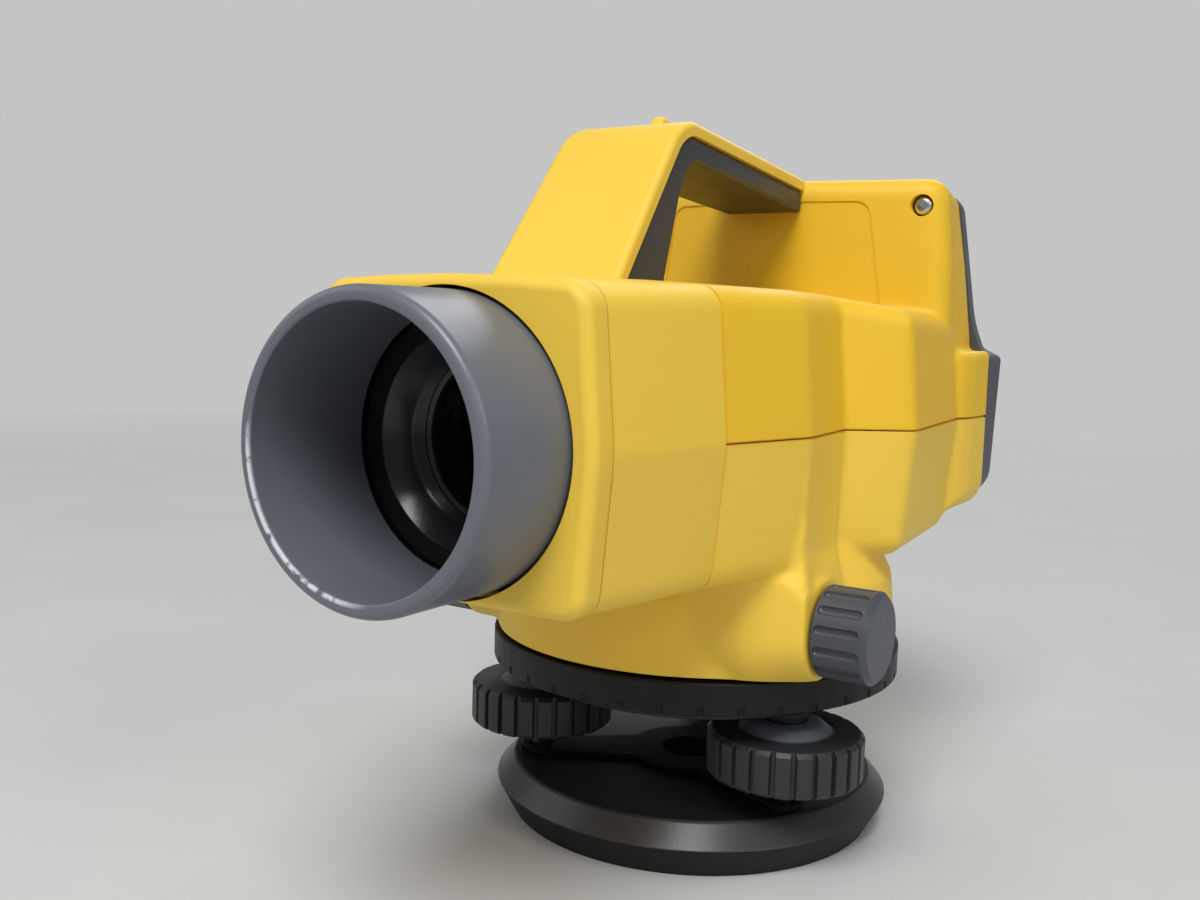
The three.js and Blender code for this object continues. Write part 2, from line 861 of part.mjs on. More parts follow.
// The left boss is round below the shaft and runs straight up into the body above it.
function bossLoop(x, radius, topHeight) {
  const steps = roundSides / 2;
  const loop = [];
  for (let k = 0; k <= steps; k += 1) {
    const angle = Math.PI + (Math.PI * k) / steps;
    loop.push(new THREE.Vector3(x, radius * Math.cos(angle), radius * Math.sin(angle)));
  }
  const top = topHeight - wormHeight;
  loop.push(new THREE.Vector3(x, radius, top), new THREE.Vector3(x, -radius, top));
  return loop;
}

function makeBosses() {
  const rampShare = (bossRampX - bossFootX) / (bossEndX - wall - bossFootX);
  const rampRadius = THREE.MathUtils.lerp(bossFootRadius, bossRadius, rampShare);
  const left = loft([
    bossLoop(0, bossFootRadius, bossRampHeight),
    bossLoop(bossFootX, bossFootRadius, bossRampHeight),
    bossLoop(bossRampX, rampRadius, bossRampHeight),
    bossLoop(bossEndX, bossRadius, bossEndHeight),
  ]);
  const right = bar("x", plainBossRadius, -bossEndX, 0, noShift, roundSides);
  return join(left, right).translate(wormPlace);
}

function makeLowerHousing() {
  const skirt = turned("z", skirtProfile(0), ringSides);
  const skirtInside = turned("z", skirtProfile(skirtWall), ringSides);
  const aboveFoot = slab(-farSide, farSide, skirtFootHeight, bossRampHeight);
  const low = join(skirt, makeBosses().intersect(aboveFoot));
  const lowBody = outerSkin.intersect(slab(coversStartY, coverRearY, 0, sightHeight - gap / 2));
  const lowRibs = ribs(0).intersect(slab(coversStartY, coverRearY, 0, sightHeight - gap / 2));
  const outside = join(lowBody, lowRibs, low);
  const shaftHole = bar("x", wormShaftRadius + gap, -bossEndX, bossEndX, wormPlace);
  const floorOpening = bar("z", floorHole, skirtShoulderHeight, sightHeight, noShift, ringSides);
  return cut(
    outside,
    innerSkin,
    ribs(wall).translate([0, overrun, 0]),
    skirtInside,
    shaftHole,
    floorOpening,
    focusShaftHole,
    connectorHole,
    doorBlock(doorClear),
  );
}

addPart("lower_housing", makeLowerHousing(), yellow);

// Battery and its door

function makeBatteryDoor() {
  const outside = join(outerSkin, ribs(0));
  return cut(outside, innerSkin, ribs(wall).translate([0, overrun, 0])).intersect(doorBlock(0));
}

function makeBattery() {
  const outerX = -sideHalfWidthAt(doorRearY) + wall + batterySetIn;
  return block(
    outerX,
    outerX + batteryDepth,
    doorFrontY + gap,
    doorRearY - gap,
    sightHeight - rearDrop + wall + gap,
    sightHeight - doorTopDrop - gap,
  );
}

addPart("battery_door", makeBatteryDoor(), yellow);
addPart("battery", makeBattery(), slate);

// Handle: a moulded cap bent over a grip

const handleSlope = (handleEndRise - handlePeakRise) / (towerFrontY - handlePeakY);
const strutLean = (handlePeakY - handleFootFrontY) / (handlePeakRise - handleFootRise);
const strutAtSightY = handleFootFrontY - handleFootRise * strutLean;
const strutSkinShare = Math.hypot(1, strutLean); // of the skin's depth, measured along Y

function handleCapOutline() {
  const footY = strutAtSightY;
  const skinY = handleSkin * strutSkinShare;
  const outer = [
    [footY, 0, 0],
    [handlePeakY, handlePeakRise, handlePeakRadius],
    [towerFrontY + overrun, handleEndRise + handleSlope * overrun, 0],
    [towerFrontY + overrun, handleEndRise - handleSkin, 0],
    [handlePeakY + handleSkin / 2, handlePeakRise - handleSkin, handlePeakRadius - handleSkin],
    [footY + skinY, 0, 0],
  ];
  return roundedLoop(outer, cornerSteps);
}

function handleGripOutline() {
  const footY = strutAtSightY;
  const skin = handleSkin + gap;
  const skinY = skin * strutSkinShare;
  const corners = [
    [footY + skinY, 0, 0],
    [handlePeakY + skin / 2, handlePeakRise - skin, handlePeakRadius - handleSkin],
    [towerFrontY + overrun, handleEndRise - skin, 0],
    [towerFrontY + overrun, gripEndRise, 0],
    [gripInnerBendY, gripInnerBendRise, gripBendRadius],
    [gripInnerKneeY, gripInnerKneeRise, gripBendRadius],
    [gripInnerFootY, handleFootRise, 0],
    [gripInnerFootY - overrun, 0, 0],
  ];
  return roundedLoop(corners, cornerSteps);
}

// The wedge that narrows the handle from its foot to the tower.
function handleWedge(setIn) {
  const plan = [
    [handleFootFrontY - 2 * handleFootHalfWidth, handleFootHalfWidth],
    [handleFootFrontY, handleFootHalfWidth],
    [handlePeakY, handlePeakHalfWidth],
    [towerFrontY + overrun, handleEndHalfWidth],
  ];
  const right = plan.map(([y, half]) => new THREE.Vector2(half - setIn, y));
  const left = plan.map(([y, half]) => new THREE.Vector2(-half + setIn, y)).reverse();
  return plate("z", [...right, ...left], sightHeight, aboveAll);
}

function liftedOutline(outline) {
  return outline.map((p) => new THREE.Vector2(p.x, p.y + sightHeight));
}

const outsideOfTower = towerSkin(-gap, coverRearY, towerFootRise);

function makePeepSight() {
  const outline = [
    new THREE.Vector2(peepY - peepHalfLength, sightHeight + handlePeakRise - handleSkin),
    new THREE.Vector2(peepY + peepHalfLength, sightHeight + handlePeakRise - handleSkin),
    new THREE.Vector2(peepY + peepTopHalfLength, sightHeight + peepRise),
    new THREE.Vector2(peepY - peepTopHalfLength, sightHeight + peepRise),
  ];
  return plate("x", outline, -peepHalfWidth, peepHalfWidth);
}

function makeHandle() {
  const across = [-2 * handleFootHalfWidth, 2 * handleFootHalfWidth];
  const band = plate("x", liftedOutline(handleCapOutline()), ...across);
  const shaped = join(band.intersect(handleWedge(0)), makePeepSight());
  return cut(shaped, outsideOfSkin, outsideOfTower);
}

function makeHandleGrip() {
  const across = [-2 * handleFootHalfWidth, 2 * handleFootHalfWidth];
  const band = plate("x", liftedOutline(handleGripOutline()), ...across);
  return cut(band.intersect(handleWedge(gripSetIn)), outsideOfSkin, outsideOfTower);
}

addPart("handle", makeHandle(), yellow);
addPart("handle_grip", makeHandleGrip(), slate);

// Lens hood, telescope tube and objective

function makeLensHood() {
  const profile = [
    [hoodBore, hoodRearY],
    [hoodRadius, hoodRearY],
    [hoodRadius, hoodFrontY + hoodLip],
    [hoodRadius - hoodLip, hoodFrontY],
    [hoodBore + hoodLip, hoodFrontY],
    [hoodBore, hoodFrontY + hoodLip],
    [hoodBore, hoodRearY],
  ];
  return turned("y", profile, ringSides).translate(onSight);
}

function makeTelescopeTube() {
  const barrelFrontY = hoodRearY + gap;
  const profile = [
    [barrelBore, barrelFrontY],
    [barrelRadius, barrelFrontY],
    [barrelRadius, barrelRearY],
    [tubeRadius, barrelRearY],
    [tubeRadius, tubeRearY],
    [tubeBore, tubeRearY],
    [tubeBore, barrelRearY - barrelFloor],
    [barrelBore, barrelRearY - barrelFloor],
    [barrelBore, barrelFrontY],
  ];
  const slot = block(
    -tubeRadius - overrun,
    -tubeRadius / 2,
    focusY - lugLength / 2 - focusTravel - gap,
    focusY + lugLength / 2 + focusTravel + gap,
    rackRootHeight - gap,
    rackRootHeight + lugThickness + gap,
  );
  return cut(turned("y", profile, ringSides).translate(onSight), slot);
}

function makeObjectiveCell() {
  const throatEnds = [0, 1, 2].map((step) => ({
    bore: cellThroatBore - step * cellStep,
    y: cellConeY + (step + 1) * cellStepLength,
  }));
  const throat = throatEnds.flatMap(({ bore, y }, i) => {
    const next = i + 1 < throatEnds.length ? bore - cellStep : bore;
    return [
      [bore, i + 1 < throatEnds.length ? y : cellRearY],
      [next, i + 1 < throatEnds.length ? y : cellRearY],
    ];
  });
  const profile = [
    [barrelBore - gap, cellRearY],
    [barrelBore - gap, cellFrontY],
    [cellFaceBore, cellFrontY],
    [cellThroatBore, cellConeY],
    ...throat.slice(0, -1),
    [barrelBore - gap, cellRearY],
  ];
  return turned("y", profile, ringSides).translate(onSight);
}

function makeObjectiveLens() {
  const steps = 3;
  const front = [];
  for (let i = 0; i <= steps; i += 1) {
    const share = i / steps;
    front.push([lensRadius * share, lensFrontY + lensBulge * (share * share - 1)]);
  }
  const profile = [...front, [lensRadius, lensRearY], [0, lensRearY]];
  return turned("y", profile, roundSides).translate(onSight);
}

const rackPitchHeight = sightHeight + toothPitchRadius;
const rackRootHeight = rackPitchHeight + toothHeight / 2;

addPart("lens_hood", makeLensHood(), slate);
addPart("telescope_tube", makeTelescopeTube(), alloy);
addPart("objective_cell", makeObjectiveCell(), anodised);
addPart("objective_lens", makeObjectiveLens(), glass);

// Focusing: knob, pinion shaft, and the carriage with its rack

const toothPitch = (2 * Math.PI * toothPitchRadius) / pinionTeeth;

// A round grip: a profile with shallow flutes cut along it.
function flutedDisc(radius, count, depth, steps = 3) {
  const points = [];
  for (let i = 0; i < count * steps; i += 1) {
    const angle = (2 * Math.PI * i) / (count * steps);
    const dip = (1 - Math.cos(count * angle)) / 2;
    const reach = radius - depth * dip;
    points.push(new THREE.Vector2(reach * Math.cos(angle), reach * Math.sin(angle)));
  }
  return points;
}

function makeFocusKnob() {
  const centre = [0, focusY, sightHeight];
  const fluted = plate(
    "x",
    flutedDisc(focusKnobRadius, focusGripCount, focusGripDepth),
    focusKnobOuterX,
    focusKnobInnerX,
  ).translate(centre);
  const rounded = turned(
    "x",
    [
      [0, focusKnobOuterX],
      [focusKnobRadius - focusKnobChamfer, focusKnobOuterX],
      [focusKnobRadius, focusKnobOuterX + focusKnobChamfer],
      [focusKnobRadius, focusKnobInnerX],
      [0, focusKnobInnerX],
    ],
    roundSides,
  ).translate(centre);
  const bore = bar(
    "x",
    focusShaftRadius + gap,
    focusShaftEndX - gap,
    focusKnobInnerX + overrun,
    centre,
  );
  return cut(fluted.intersect(rounded), bore);
}

function makeFocusShaft() {
  const outline = [];
  const step = (2 * Math.PI) / pinionTeeth;
  const tip = toothPitchRadius + toothHeight / 2 - toothRootGap / 2;
  const root = toothPitchRadius - toothHeight / 2 - toothRootGap / 2;
  const tipHalf = (toothTipShare / 2) * step;
  const rootHalf = (toothRootShare / 2) * step;
  for (let i = 0; i < pinionTeeth; i += 1) {
    const angle = i * step;
    for (const [turn, reach] of [
      [-rootHalf, root],
      [-tipHalf, tip],
      [tipHalf, tip],
      [rootHalf, root],
    ]) {
      const at = angle + turn;
      outline.push(new THREE.Vector2(reach * Math.cos(at), reach * Math.sin(at)));
    }
  }
  const centre = [0, focusY, sightHeight];
  const pinion = plate("x", outline, pinionInnerX - pinionWidth, pinionInnerX);
  const shaft = bar("x", focusShaftRadius, focusShaftEndX, pinionInnerX, noShift, pinSides);
  return join(pinion, shaft).translate(centre);
}

function makeFocusCarriage() {
  const from = focusY - carriageLength / 2;
  const tube = pipe("y", carriageRadius, carriageBore, from, from + carriageLength, onSight);
  const topHeight = rackRootHeight + rackDepth;
  const bar0 = block(
    pinionInnerX - pinionWidth,
    pinionInnerX,
    focusY - rackLength / 2,
    focusY + rackLength / 2,
    rackRootHeight,
    topHeight,
  );
  const lug = block(
    pinionInnerX - overrun,
    -(carriageRadius + carriageBore) / 2 + overrun,
    focusY - lugLength / 2,
    focusY + lugLength / 2,
    rackRootHeight,
    rackRootHeight + lugThickness,
  );
  const teeth = [];
  const tipHeight = rackRootHeight - toothHeight + toothRootGap / 2;
  const count = Math.floor(rackLength / toothPitch / 2 - toothRootShare);
  for (let i = -count; i < count; i += 1) {
    const y = focusY + (i + 1 / 2) * toothPitch;
    const outline = [
      new THREE.Vector2(y - (toothRootShare / 2) * toothPitch, rackRootHeight + wall / 2),
      new THREE.Vector2(y - (toothRootShare / 2) * toothPitch, rackRootHeight),
      new THREE.Vector2(y - (toothTipShare / 2) * toothPitch, tipHeight),
      new THREE.Vector2(y + (toothTipShare / 2) * toothPitch, tipHeight),
      new THREE.Vector2(y + (toothRootShare / 2) * toothPitch, rackRootHeight),
      new THREE.Vector2(y + (toothRootShare / 2) * toothPitch, rackRootHeight + wall / 2),
    ];
    teeth.push(plate("x", outline, pinionInnerX - pinionWidth, pinionInnerX));
  }
  const to = from + carriageLength;
  const hollow = bar("y", carriageBore, from - overrun, to + overrun, onSight, roundSides);
  return cut(join(tube, bar0, lug, ...teeth), hollow);
}

function makeFocusLens() {
  const half = focusLensThickness / 2;
  const radius = carriageBore - gap;
  const steps = 3;
  const front = [];
  for (let i = 0; i <= steps; i += 1) {
    const share = i / steps;
    front.push([radius * share, focusY - half + focusLensHollow * (1 - share * share)]);
  }
  const back = front.map(([r, y]) => [r, 2 * focusY - y]).reverse();
  return turned("y", [...front, ...back], roundSides).translate(onSight);
}

addPart("focus_knob", makeFocusKnob(), slate);
addPart("focus_shaft", makeFocusShaft(), steel);
addPart("focus_carriage", makeFocusCarriage(), alloy);
addPart("focus_lens", makeFocusLens(), glass);

// Chassis, compensator, beam splitter and sensor

const chassisFoot = floorHeight + wall + gap;
const chassisTop = chassisFoot + chassisThickness;

function makeChassis() {
  const base = block(
    -chassisHalfWidth,
    chassisHalfWidth,
    chassisFrontY,
    chassisRearY,
    chassisFoot,
    chassisTop,
  );
  const boss = bar(
    "z",
    chassisBossRadius,
    hubTopHeight + gap + spindleFlangeThickness + gap,
    chassisTop,
    noShift,
    roundSides,
  );
  const saddles = saddlePlaces.map((y) =>
    block(
      -saddleHalfWidth,
      saddleHalfWidth,
      y,
      y + saddleLength,
      chassisFoot,
      sightHeight - tubeRadius / 2,
    ),
  );
  const frameFoot = block(
    -compensatorHalfWidth,
    compensatorHalfWidth,
    compensatorFrontY,
    compensatorRearY,
    chassisFoot,
    sightHeight - compensatorDrop - gap,
  );
  const post = block(
    -postHalfWidth,
    postHalfWidth,
    splitterFrontY,
    chassisRearY,
    chassisFoot,
    sightHeight - splitterHalfSize - gap,
  );
  const tubeRoom = bar(
    "y",
    tubeRadius + gap,
    chassisFrontY - overrun,
    tubeRearY + gap,
    onSight,
    ringSides,
  );
  const inRoom = join(base, ...saddles, frameFoot, post).intersect(bodySkin(wall + gap, true));
  return cut(join(inRoom, boss), tubeRoom);
}

function makeCompensatorFrame() {
  const outer = block(
    -compensatorHalfWidth,
    compensatorHalfWidth,
    compensatorFrontY,
    compensatorRearY,
    sightHeight - compensatorDrop,
    sightHeight + compensatorRise,
  );
  const window = block(
    -compensatorHalfWidth + compensatorBar,
    compensatorHalfWidth - compensatorBar,
    compensatorFrontY - overrun,
    compensatorRearY + overrun,
    sightHeight - compensatorDrop + compensatorBar,
    sightHeight + compensatorRise - compensatorBar,
  );
  return cut(outer, window);
}

function makePendulum() {
  const middleY = (compensatorFrontY + compensatorRearY) / 2;
  const prism = block(
    -pendulumHalfWidth,
    pendulumHalfWidth,
    middleY - pendulumHalfDepth,
    middleY + pendulumHalfDepth,
    sightHeight - pendulumDrop,
    sightHeight + pendulumDrop,
  );
  const hanger = block(
    -pendulumHalfWidth / 2,
    pendulumHalfWidth / 2,
    middleY - pendulumHalfDepth / 2,
    middleY + pendulumHalfDepth / 2,
    sightHeight,
    sightHeight + compensatorRise - compensatorBar - gap,
  );
  return join(prism, hanger);
}

function makeBeamSplitter() {
  return block(
    -splitterHalfSize,
    splitterHalfSize,
    splitterFrontY,
    splitterFrontY + 2 * splitterHalfSize,
    sightHeight - splitterHalfSize,
    sightHeight + splitterHalfSize,
  );
}

function makeSensorBoard() {
  const foot = sightHeight + splitterHalfSize + gap;
  return block(
    -sensorHalfWidth,
    sensorHalfWidth,
    splitterFrontY,
    splitterFrontY + 2 * splitterHalfSize,
    foot,
    foot + sensorThickness,
  );
}

addPart("chassis", makeChassis(), alloy);
addPart("compensator_frame", makeCompensatorFrame(), anodised);
addPart("compensator_pendulum", makePendulum(), glass);
addPart("beam_splitter", makeBeamSplitter(), glass);
addPart("sensor_board", makeSensorBoard(), circuit);

// Rear panel

function rearPanelLoop(y, inset) {
  const depthShare = (y - coverRearY) / (rearPanelY - coverRearY);
  const lean = inset + depthShare * rearPanelLean;
  const half = [
    [rearPanelFootHalfWidth - inset, -rearPanelDrop + inset, rearPanelFootRound - inset],
    [rearPanelHalfWidth - inset, rearPanelShoulderRise - inset, rearPanelShoulderRound],
    [rearPanelStepHalfWidth - lean, rearPanelStepRise - inset, 0],
    [rearPanelNeckHalfWidth - lean, rearPanelNeckRise - inset, 0],
    [rearPanelTopHalfWidth - lean, towerTopRise - inset, rearPanelTopRound - inset],
  ];
  const other = half.map(([x, rise, radius]) => [-x, rise, radius]).reverse();
  return roundedLoop([...half, ...other], cornerSteps).map(
    (p) => new THREE.Vector3(p.x, y, sightHeight + p.y),
  );
}

function keyOutline(x, rise, margin) {
  const wide = keyHalfWidth + margin;
  const high = keyHalfHeight + margin;
  const corners = [
    [x + wide, rise - high, keyRound],
    [x + wide, rise + high, keyRound],
    [x - wide, rise + high, keyRound],
    [x - wide, rise - high, keyRound],
  ];
  return liftedOutline(roundedLoop(corners, 1));
}

const panelInnerY = rearPanelY - wall;

function makeRearPanel() {
  const frontY = coverRearY + gap;
  const loops = [rearPanelLoop(frontY, 0)];
  rearPanelRoundInsetShares.forEach((share, i) => {
    const y = rearPanelY - rearPanelRoundDepthShares[i] * rearPanelRound;
    loops.push(rearPanelLoop(y, share * rearPanelRound));
  });
  const hollow = loft([
    rearPanelLoop(frontY - overrun, wall),
    rearPanelLoop(panelInnerY, rearPanelRound),
  ]);
  const eyeHole = bar(
    "y",
    eyeTubeRadius + gap,
    panelInnerY - overrun,
    rearPanelY + overrun,
    onSight,
    roundSides,
  );
  const windowRecess = windowBlock(gap, rearPanelY - windowThickness - gap, rearPanelY + overrun);
  const windowOpening = windowBlock(-windowLedge, panelInnerY - overrun, rearPanelY);
  const keyHoles = keyPlaces().map(({ x, rise }) =>
    plate("y", keyOutline(x, rise, gap), panelInnerY - overrun, rearPanelY + overrun),
  );
  return cut(loft(loops), hollow, eyeHole, windowRecess, windowOpening, ...keyHoles);
}

function windowBlock(margin, y0, y1) {
  return block(
    -windowHalfWidth - margin,
    windowHalfWidth + margin,
    y0,
    y1,
    sightHeight + windowDrop - margin,
    sightHeight + windowRise + margin,
  );
}

function keyPlaces() {
  return keyRows.flatMap((rise) => keyColumns.map((x) => ({ x, rise })));
}

function makeKey({ x, rise }) {
  const faceY = rearPanelY + keyProud;
  const cap = plate("y", keyOutline(x, rise, 0), faceY - keyLength, faceY);
  const rimY = panelInnerY - gap;
  const rim = plate("y", keyOutline(x, rise, keyRim), rimY - keyRimThickness, rimY);
  return join(cap, rim);
}

addPart("rear_panel", makeRearPanel(), slate);
addPart(
  "display_window",
  windowBlock(0, rearPanelY - windowThickness, rearPanelY),
  glass,
);
addPart(
  "lcd_module",
  windowBlock(lcdMargin, panelInnerY - gap - lcdThickness, panelInnerY - gap),
  circuit,
);
keyPlaces().forEach((place, i) => addPart(`key_${i + 1}`, makeKey(place), black));

function makeMainBoard() {
  const board = block(
    -boardHalfWidth,
    boardHalfWidth,
    boardRearY - boardThickness,
    boardRearY,
    sightHeight - boardDrop,
    sightHeight + boardRise,
  );
  const holeFrontY = boardRearY - 2 * boardThickness;
  const hole = bar("y", boardHole, holeFrontY, boardRearY + overrun, onSight, roundSides);
  return cut(board, hole);
}

addPart("main_board", makeMainBoard(), circuit);

// Eyepiece

function makeEyepieceMount() {
  const flangeY = rearPanelY + gap;
  const tube = pipe("y", eyeTubeRadius, eyeTubeBore, eyeTubeFrontY, eyeTubeRearY, onSight);
  const flange = pipe(
    "y",
    eyeFlangeRadius,
    eyeTubeBore,
    flangeY,
    flangeY + eyeFlangeThickness,
    onSight,
  );
  return join(tube, flange);
}

const dioptreFrontY = rearPanelY + 2 * gap + eyeFlangeThickness;

function makeDioptreRing() {
  const outline = flutedDisc(dioptreRadius, dioptreGripCount, dioptreGripDepth);
  const disc = plate("y", outline, dioptreFrontY, dioptreRearY).translate(onSight);
  const bore = bar(
    "y",
    eyeTubeRadius + gap,
    dioptreFrontY - overrun,
    dioptreRearY + overrun,
    onSight,
    roundSides,
  );
  return cut(disc, bore);
}

function makeEyepieceCell() {
  const tube = pipe("y", eyeCellRadius, eyeCellBore, eyeCellFrontY, eyeCellRearY, onSight);
  const lensRearY = eyeCellRearY - eyeLensThickness;
  const lensFrontY = lensRearY - eyeLensThickness;
  const lens = bar("y", eyeCellBore + gap, lensFrontY, lensRearY, onSight, roundSides);
  return join(tube, lens);
}

function makeEyecup() {
  const frontY = dioptreRearY + gap;
  const throat = eyeCellRadius + eyecupWall;
  const profile = [
    [throat, frontY],
    [eyecupNeckRadius, frontY],
    [eyecupNeckRadius, frontY + 2 * eyecupWall],
    [eyecupRadius, eyecupRearY - eyecupWall],
    [eyecupRadius - eyecupWall / 2, eyecupRearY],
    [eyecupRadius - eyecupWall, eyecupRearY],
    [throat, frontY + 2 * eyecupWall],
    [throat, frontY],
  ];
  return turned("y", profile, roundSides).translate(onSight);
}

addPart("eyepiece_mount", makeEyepieceMount(), anodised);
addPart("dioptre_ring", makeDioptreRing(), black);
addPart("eyepiece_cell", makeEyepieceCell(), anodised);
addPart("eyecup", makeEyecup(), rubber);

// Measuring key, data connector and circular level

function makeMeasureKey() {
  const outerX = measureFaceX - measureProud;
  const cap = bar("x", measureRadius, outerX, outerX + measureLength, measureCentre);
  return cap;
}

function makeDataConnector() {
  const outerX = connectorFaceX - connectorProud;
  const shell = pipe(
    "x",
    connectorRadius,
    connectorRadius - connectorWall,
    outerX,
    outerX + connectorLength,
    connectorCentre,
  );
  const core = bar(
    "x",
    connectorRadius - connectorWall + gap,
    outerX + connectorLength / 2,
    outerX + connectorLength,
    connectorCentre,
  );
  return join(shell, core);
}

const levelDeck = sightHeight + levelBaseRise;

function makeLevelBase() {
  const base = block(
    levelX - levelHalfSize,
    levelX + levelHalfSize,
    levelY - levelHalfSize,
    levelY + levelHalfSize,
    sightHeight,
    levelDeck,
  );
  const ears = [-1, 1].map((side) => {
    const y = levelY + side * (levelHalfSize - wall / 2);
    const x = levelX + levelHalfSize - mirrorHingeOffset;
    return block(
      x - mirrorHingeOffset,
      x + mirrorHingeOffset,
      y - wall / 2,
      y + wall / 2,
      levelDeck - overrun,
      sightHeight + mirrorHingeRise + mirrorHingeOffset,
    );
  });
  const seat = bar("z", vialRadius + gap, levelDeck - vialHeight, levelDeck + overrun, [
    levelX - mirrorHingeOffset,
    levelY,
    0,
  ]);
  return cut(join(base, ...ears), outsideOfSkin, seat);
}

function makeLevelVial() {
  const foot = levelDeck - vialHeight + gap;
  return bar("z", vialRadius, foot, levelDeck + gap, [
    levelX - mirrorHingeOffset,
    levelY,
    0,
  ]);
}

const mirrorHinge = [
  levelX + levelHalfSize - mirrorHingeOffset,
  levelY,
  sightHeight + mirrorHingeRise,
];

function makeLevelMirror() {
  const half = levelHalfSize - wall - gap;
  const flat = block(
    -mirrorLength,
    0,
    -half,
    half,
    -mirrorThickness / 2,
    mirrorThickness / 2,
  );
  return flat.rotate([0, mirrorAngle, 0]).translate(mirrorHinge);
}

addPart("measure_key", makeMeasureKey(), slate);
addPart("data_connector", makeDataConnector(), anodised);
addPart("level_base", makeLevelBase(), slate);
addPart("level_vial", makeLevelVial(), glass);
addPart("level_mirror", makeLevelMirror(), steel);

// Fine-motion drive: worm shaft, worm wheel and two knobs

const wheelTipRadius = -wormY - wormRadius + wormMeshDepth;
const wheelMiddle = wormHeight;

// The worm's thread: one tooth section swept along a helix, ending inside the shaft.
function wormThread() {
  const turns = (2 * wormHalfLength) / wormPitch;
  const stepsPerTurn = pinSides;
  const steps = Math.round(turns * stepsPerTurn);
  const crest = (wormThreadShare / 2) * wormPitch;
  const section = [
    [wormRootRadius - gap, -2 * crest],
    [wormRadius, -crest],
    [wormRadius, crest],
    [wormRootRadius - gap, 2 * crest],
  ];
  const loops = [];
  for (let i = 0; i <= steps; i += 1) {
    const angle = (2 * Math.PI * i) / stepsPerTurn;
    const middle = -wormHalfLength + (wormPitch * i) / stepsPerTurn;
    loops.push(
      section.map(
        ([radius, along]) =>
          new THREE.Vector3(
            middle + along,
            radius * Math.cos(angle),
            radius * Math.sin(angle),
          ),
      ),
    );
  }
  return helixSkin(loops);
}

// Like a loft, but for loops that aren't level, whose ends have four corners.
function helixSkin(loops) {
  const count = loops[0].length;
  const triangles = [];
  for (let row = 0; row + 1 < loops.length; row += 1) {
    for (let i = 0; i < count; i += 1) {
      const j = (i + 1) % count;
      const [a, b] = [row * count + i, row * count + j];
      triangles.push(a, b, b + count, a, b + count, a + count);
    }
  }
  const last = (loops.length - 1) * count;
  triangles.push(2, 1, 0, 3, 2, 0);
  triangles.push(last, last + 1, last + 2, last, last + 2, last + 3);
  const geometry = new THREE.BufferGeometry();
  geometry.setFromPoints(loops.flat());
  geometry.setIndex(triangles);
  return toSolid(geometry);
}

function makeWormShaft() {
  const reach = bossEndX + fineKnobLength - fineKnobPlainEnd;
  const shaft = bar("x", wormShaftRadius, -reach, reach, noShift, pinSides);
  const core = bar(
    "x",
    wormRootRadius,
    -wormHalfLength - wormPitch,
    wormHalfLength + wormPitch,
    noShift,
    pinSides,
  );
  return join(shaft, core, wormThread()).translate(wormPlace);
}

function makeWormWheel() {
  const half = wormWheelThickness / 2;
  const ring = pipe(
    "z",
    wheelTipRadius,
    hubRadius + gap,
    wheelMiddle - half,
    wheelMiddle + half,
    noShift,
    wormWheelTeeth,
  );
  const lead = Math.atan(wormPitch / (Math.PI * (wormRadius + wormRootRadius)));
  const slotWidth = wormToothSlotShare * wormPitch;
  const slots = [];
  for (let i = 0; i < wormWheelTeeth; i += 1) {
    const tool = block(
      -slotWidth / 2,
      slotWidth / 2,
      -wormToothDepth,
      overrun,
      -wormWheelThickness,
      wormWheelThickness,
    );
    const tilted = tool.rotate([0, -THREE.MathUtils.radToDeg(lead), 0]);
    const angle = (360 * i) / wormWheelTeeth;
    slots.push(
      tilted.translate([0, wheelTipRadius, wheelMiddle]).rotate([0, 0, 180 + angle]),
    );
  }
  return cut(ring, join(...slots));
}

function makeFineKnob(side) {
  const from = bossEndX + gap;
  const to = from + fineKnobLength;
  const profile = [
    [wormShaftRadius + gap, from],
    [fineKnobRadius - fineKnobChamfer / 2, from],
    [fineKnobRadius, from + fineKnobChamfer / 2],
    [fineKnobRadius, to - fineKnobChamfer],
    [fineKnobRadius - fineKnobChamfer, to],
    [0, to],
    [0, to - fineKnobPlainEnd + gap],
    [wormShaftRadius + gap, to - fineKnobPlainEnd + gap],
    [wormShaftRadius + gap, from],
  ];
  const grooves = [];
  for (let i = 0; i < fineKnobGrooves; i += 1) {
    const angle = (2 * Math.PI * (i + 1 / 2)) / fineKnobGrooves;
    const [y, z] = [fineKnobRadius * Math.cos(angle), fineKnobRadius * Math.sin(angle)];
    grooves.push(
      bar(
        "x",
        fineKnobGrooveRadius,
        from + fineKnobChamfer,
        to - fineKnobPlainEnd,
        [0, y, z],
        4,
      ),
    );
  }
  const knob = cut(turned("x", profile, 2 * fineKnobGrooves), join(...grooves));
  return knob.rotate([0, 0, side > 0 ? 0 : 180]).translate(wormPlace);
}

addPart("worm_shaft", makeWormShaft(), steel);
addPart("worm_wheel", makeWormWheel(), brass);
addPart("fine_knob_left", makeFineKnob(1), slate);
addPart("fine_knob_right", makeFineKnob(-1), slate);

// Levelling head, vertical axis and horizontal circle

function footPlace(index) {
  const angle = THREE.MathUtils.degToRad(footFirstAngle + (360 * index) / footCount);
  return [footCircleRadius * Math.cos(angle), footCircleRadius * Math.sin(angle), 0];
}

const footIndices = Array.from({ length: footCount }, (_, index) => index);

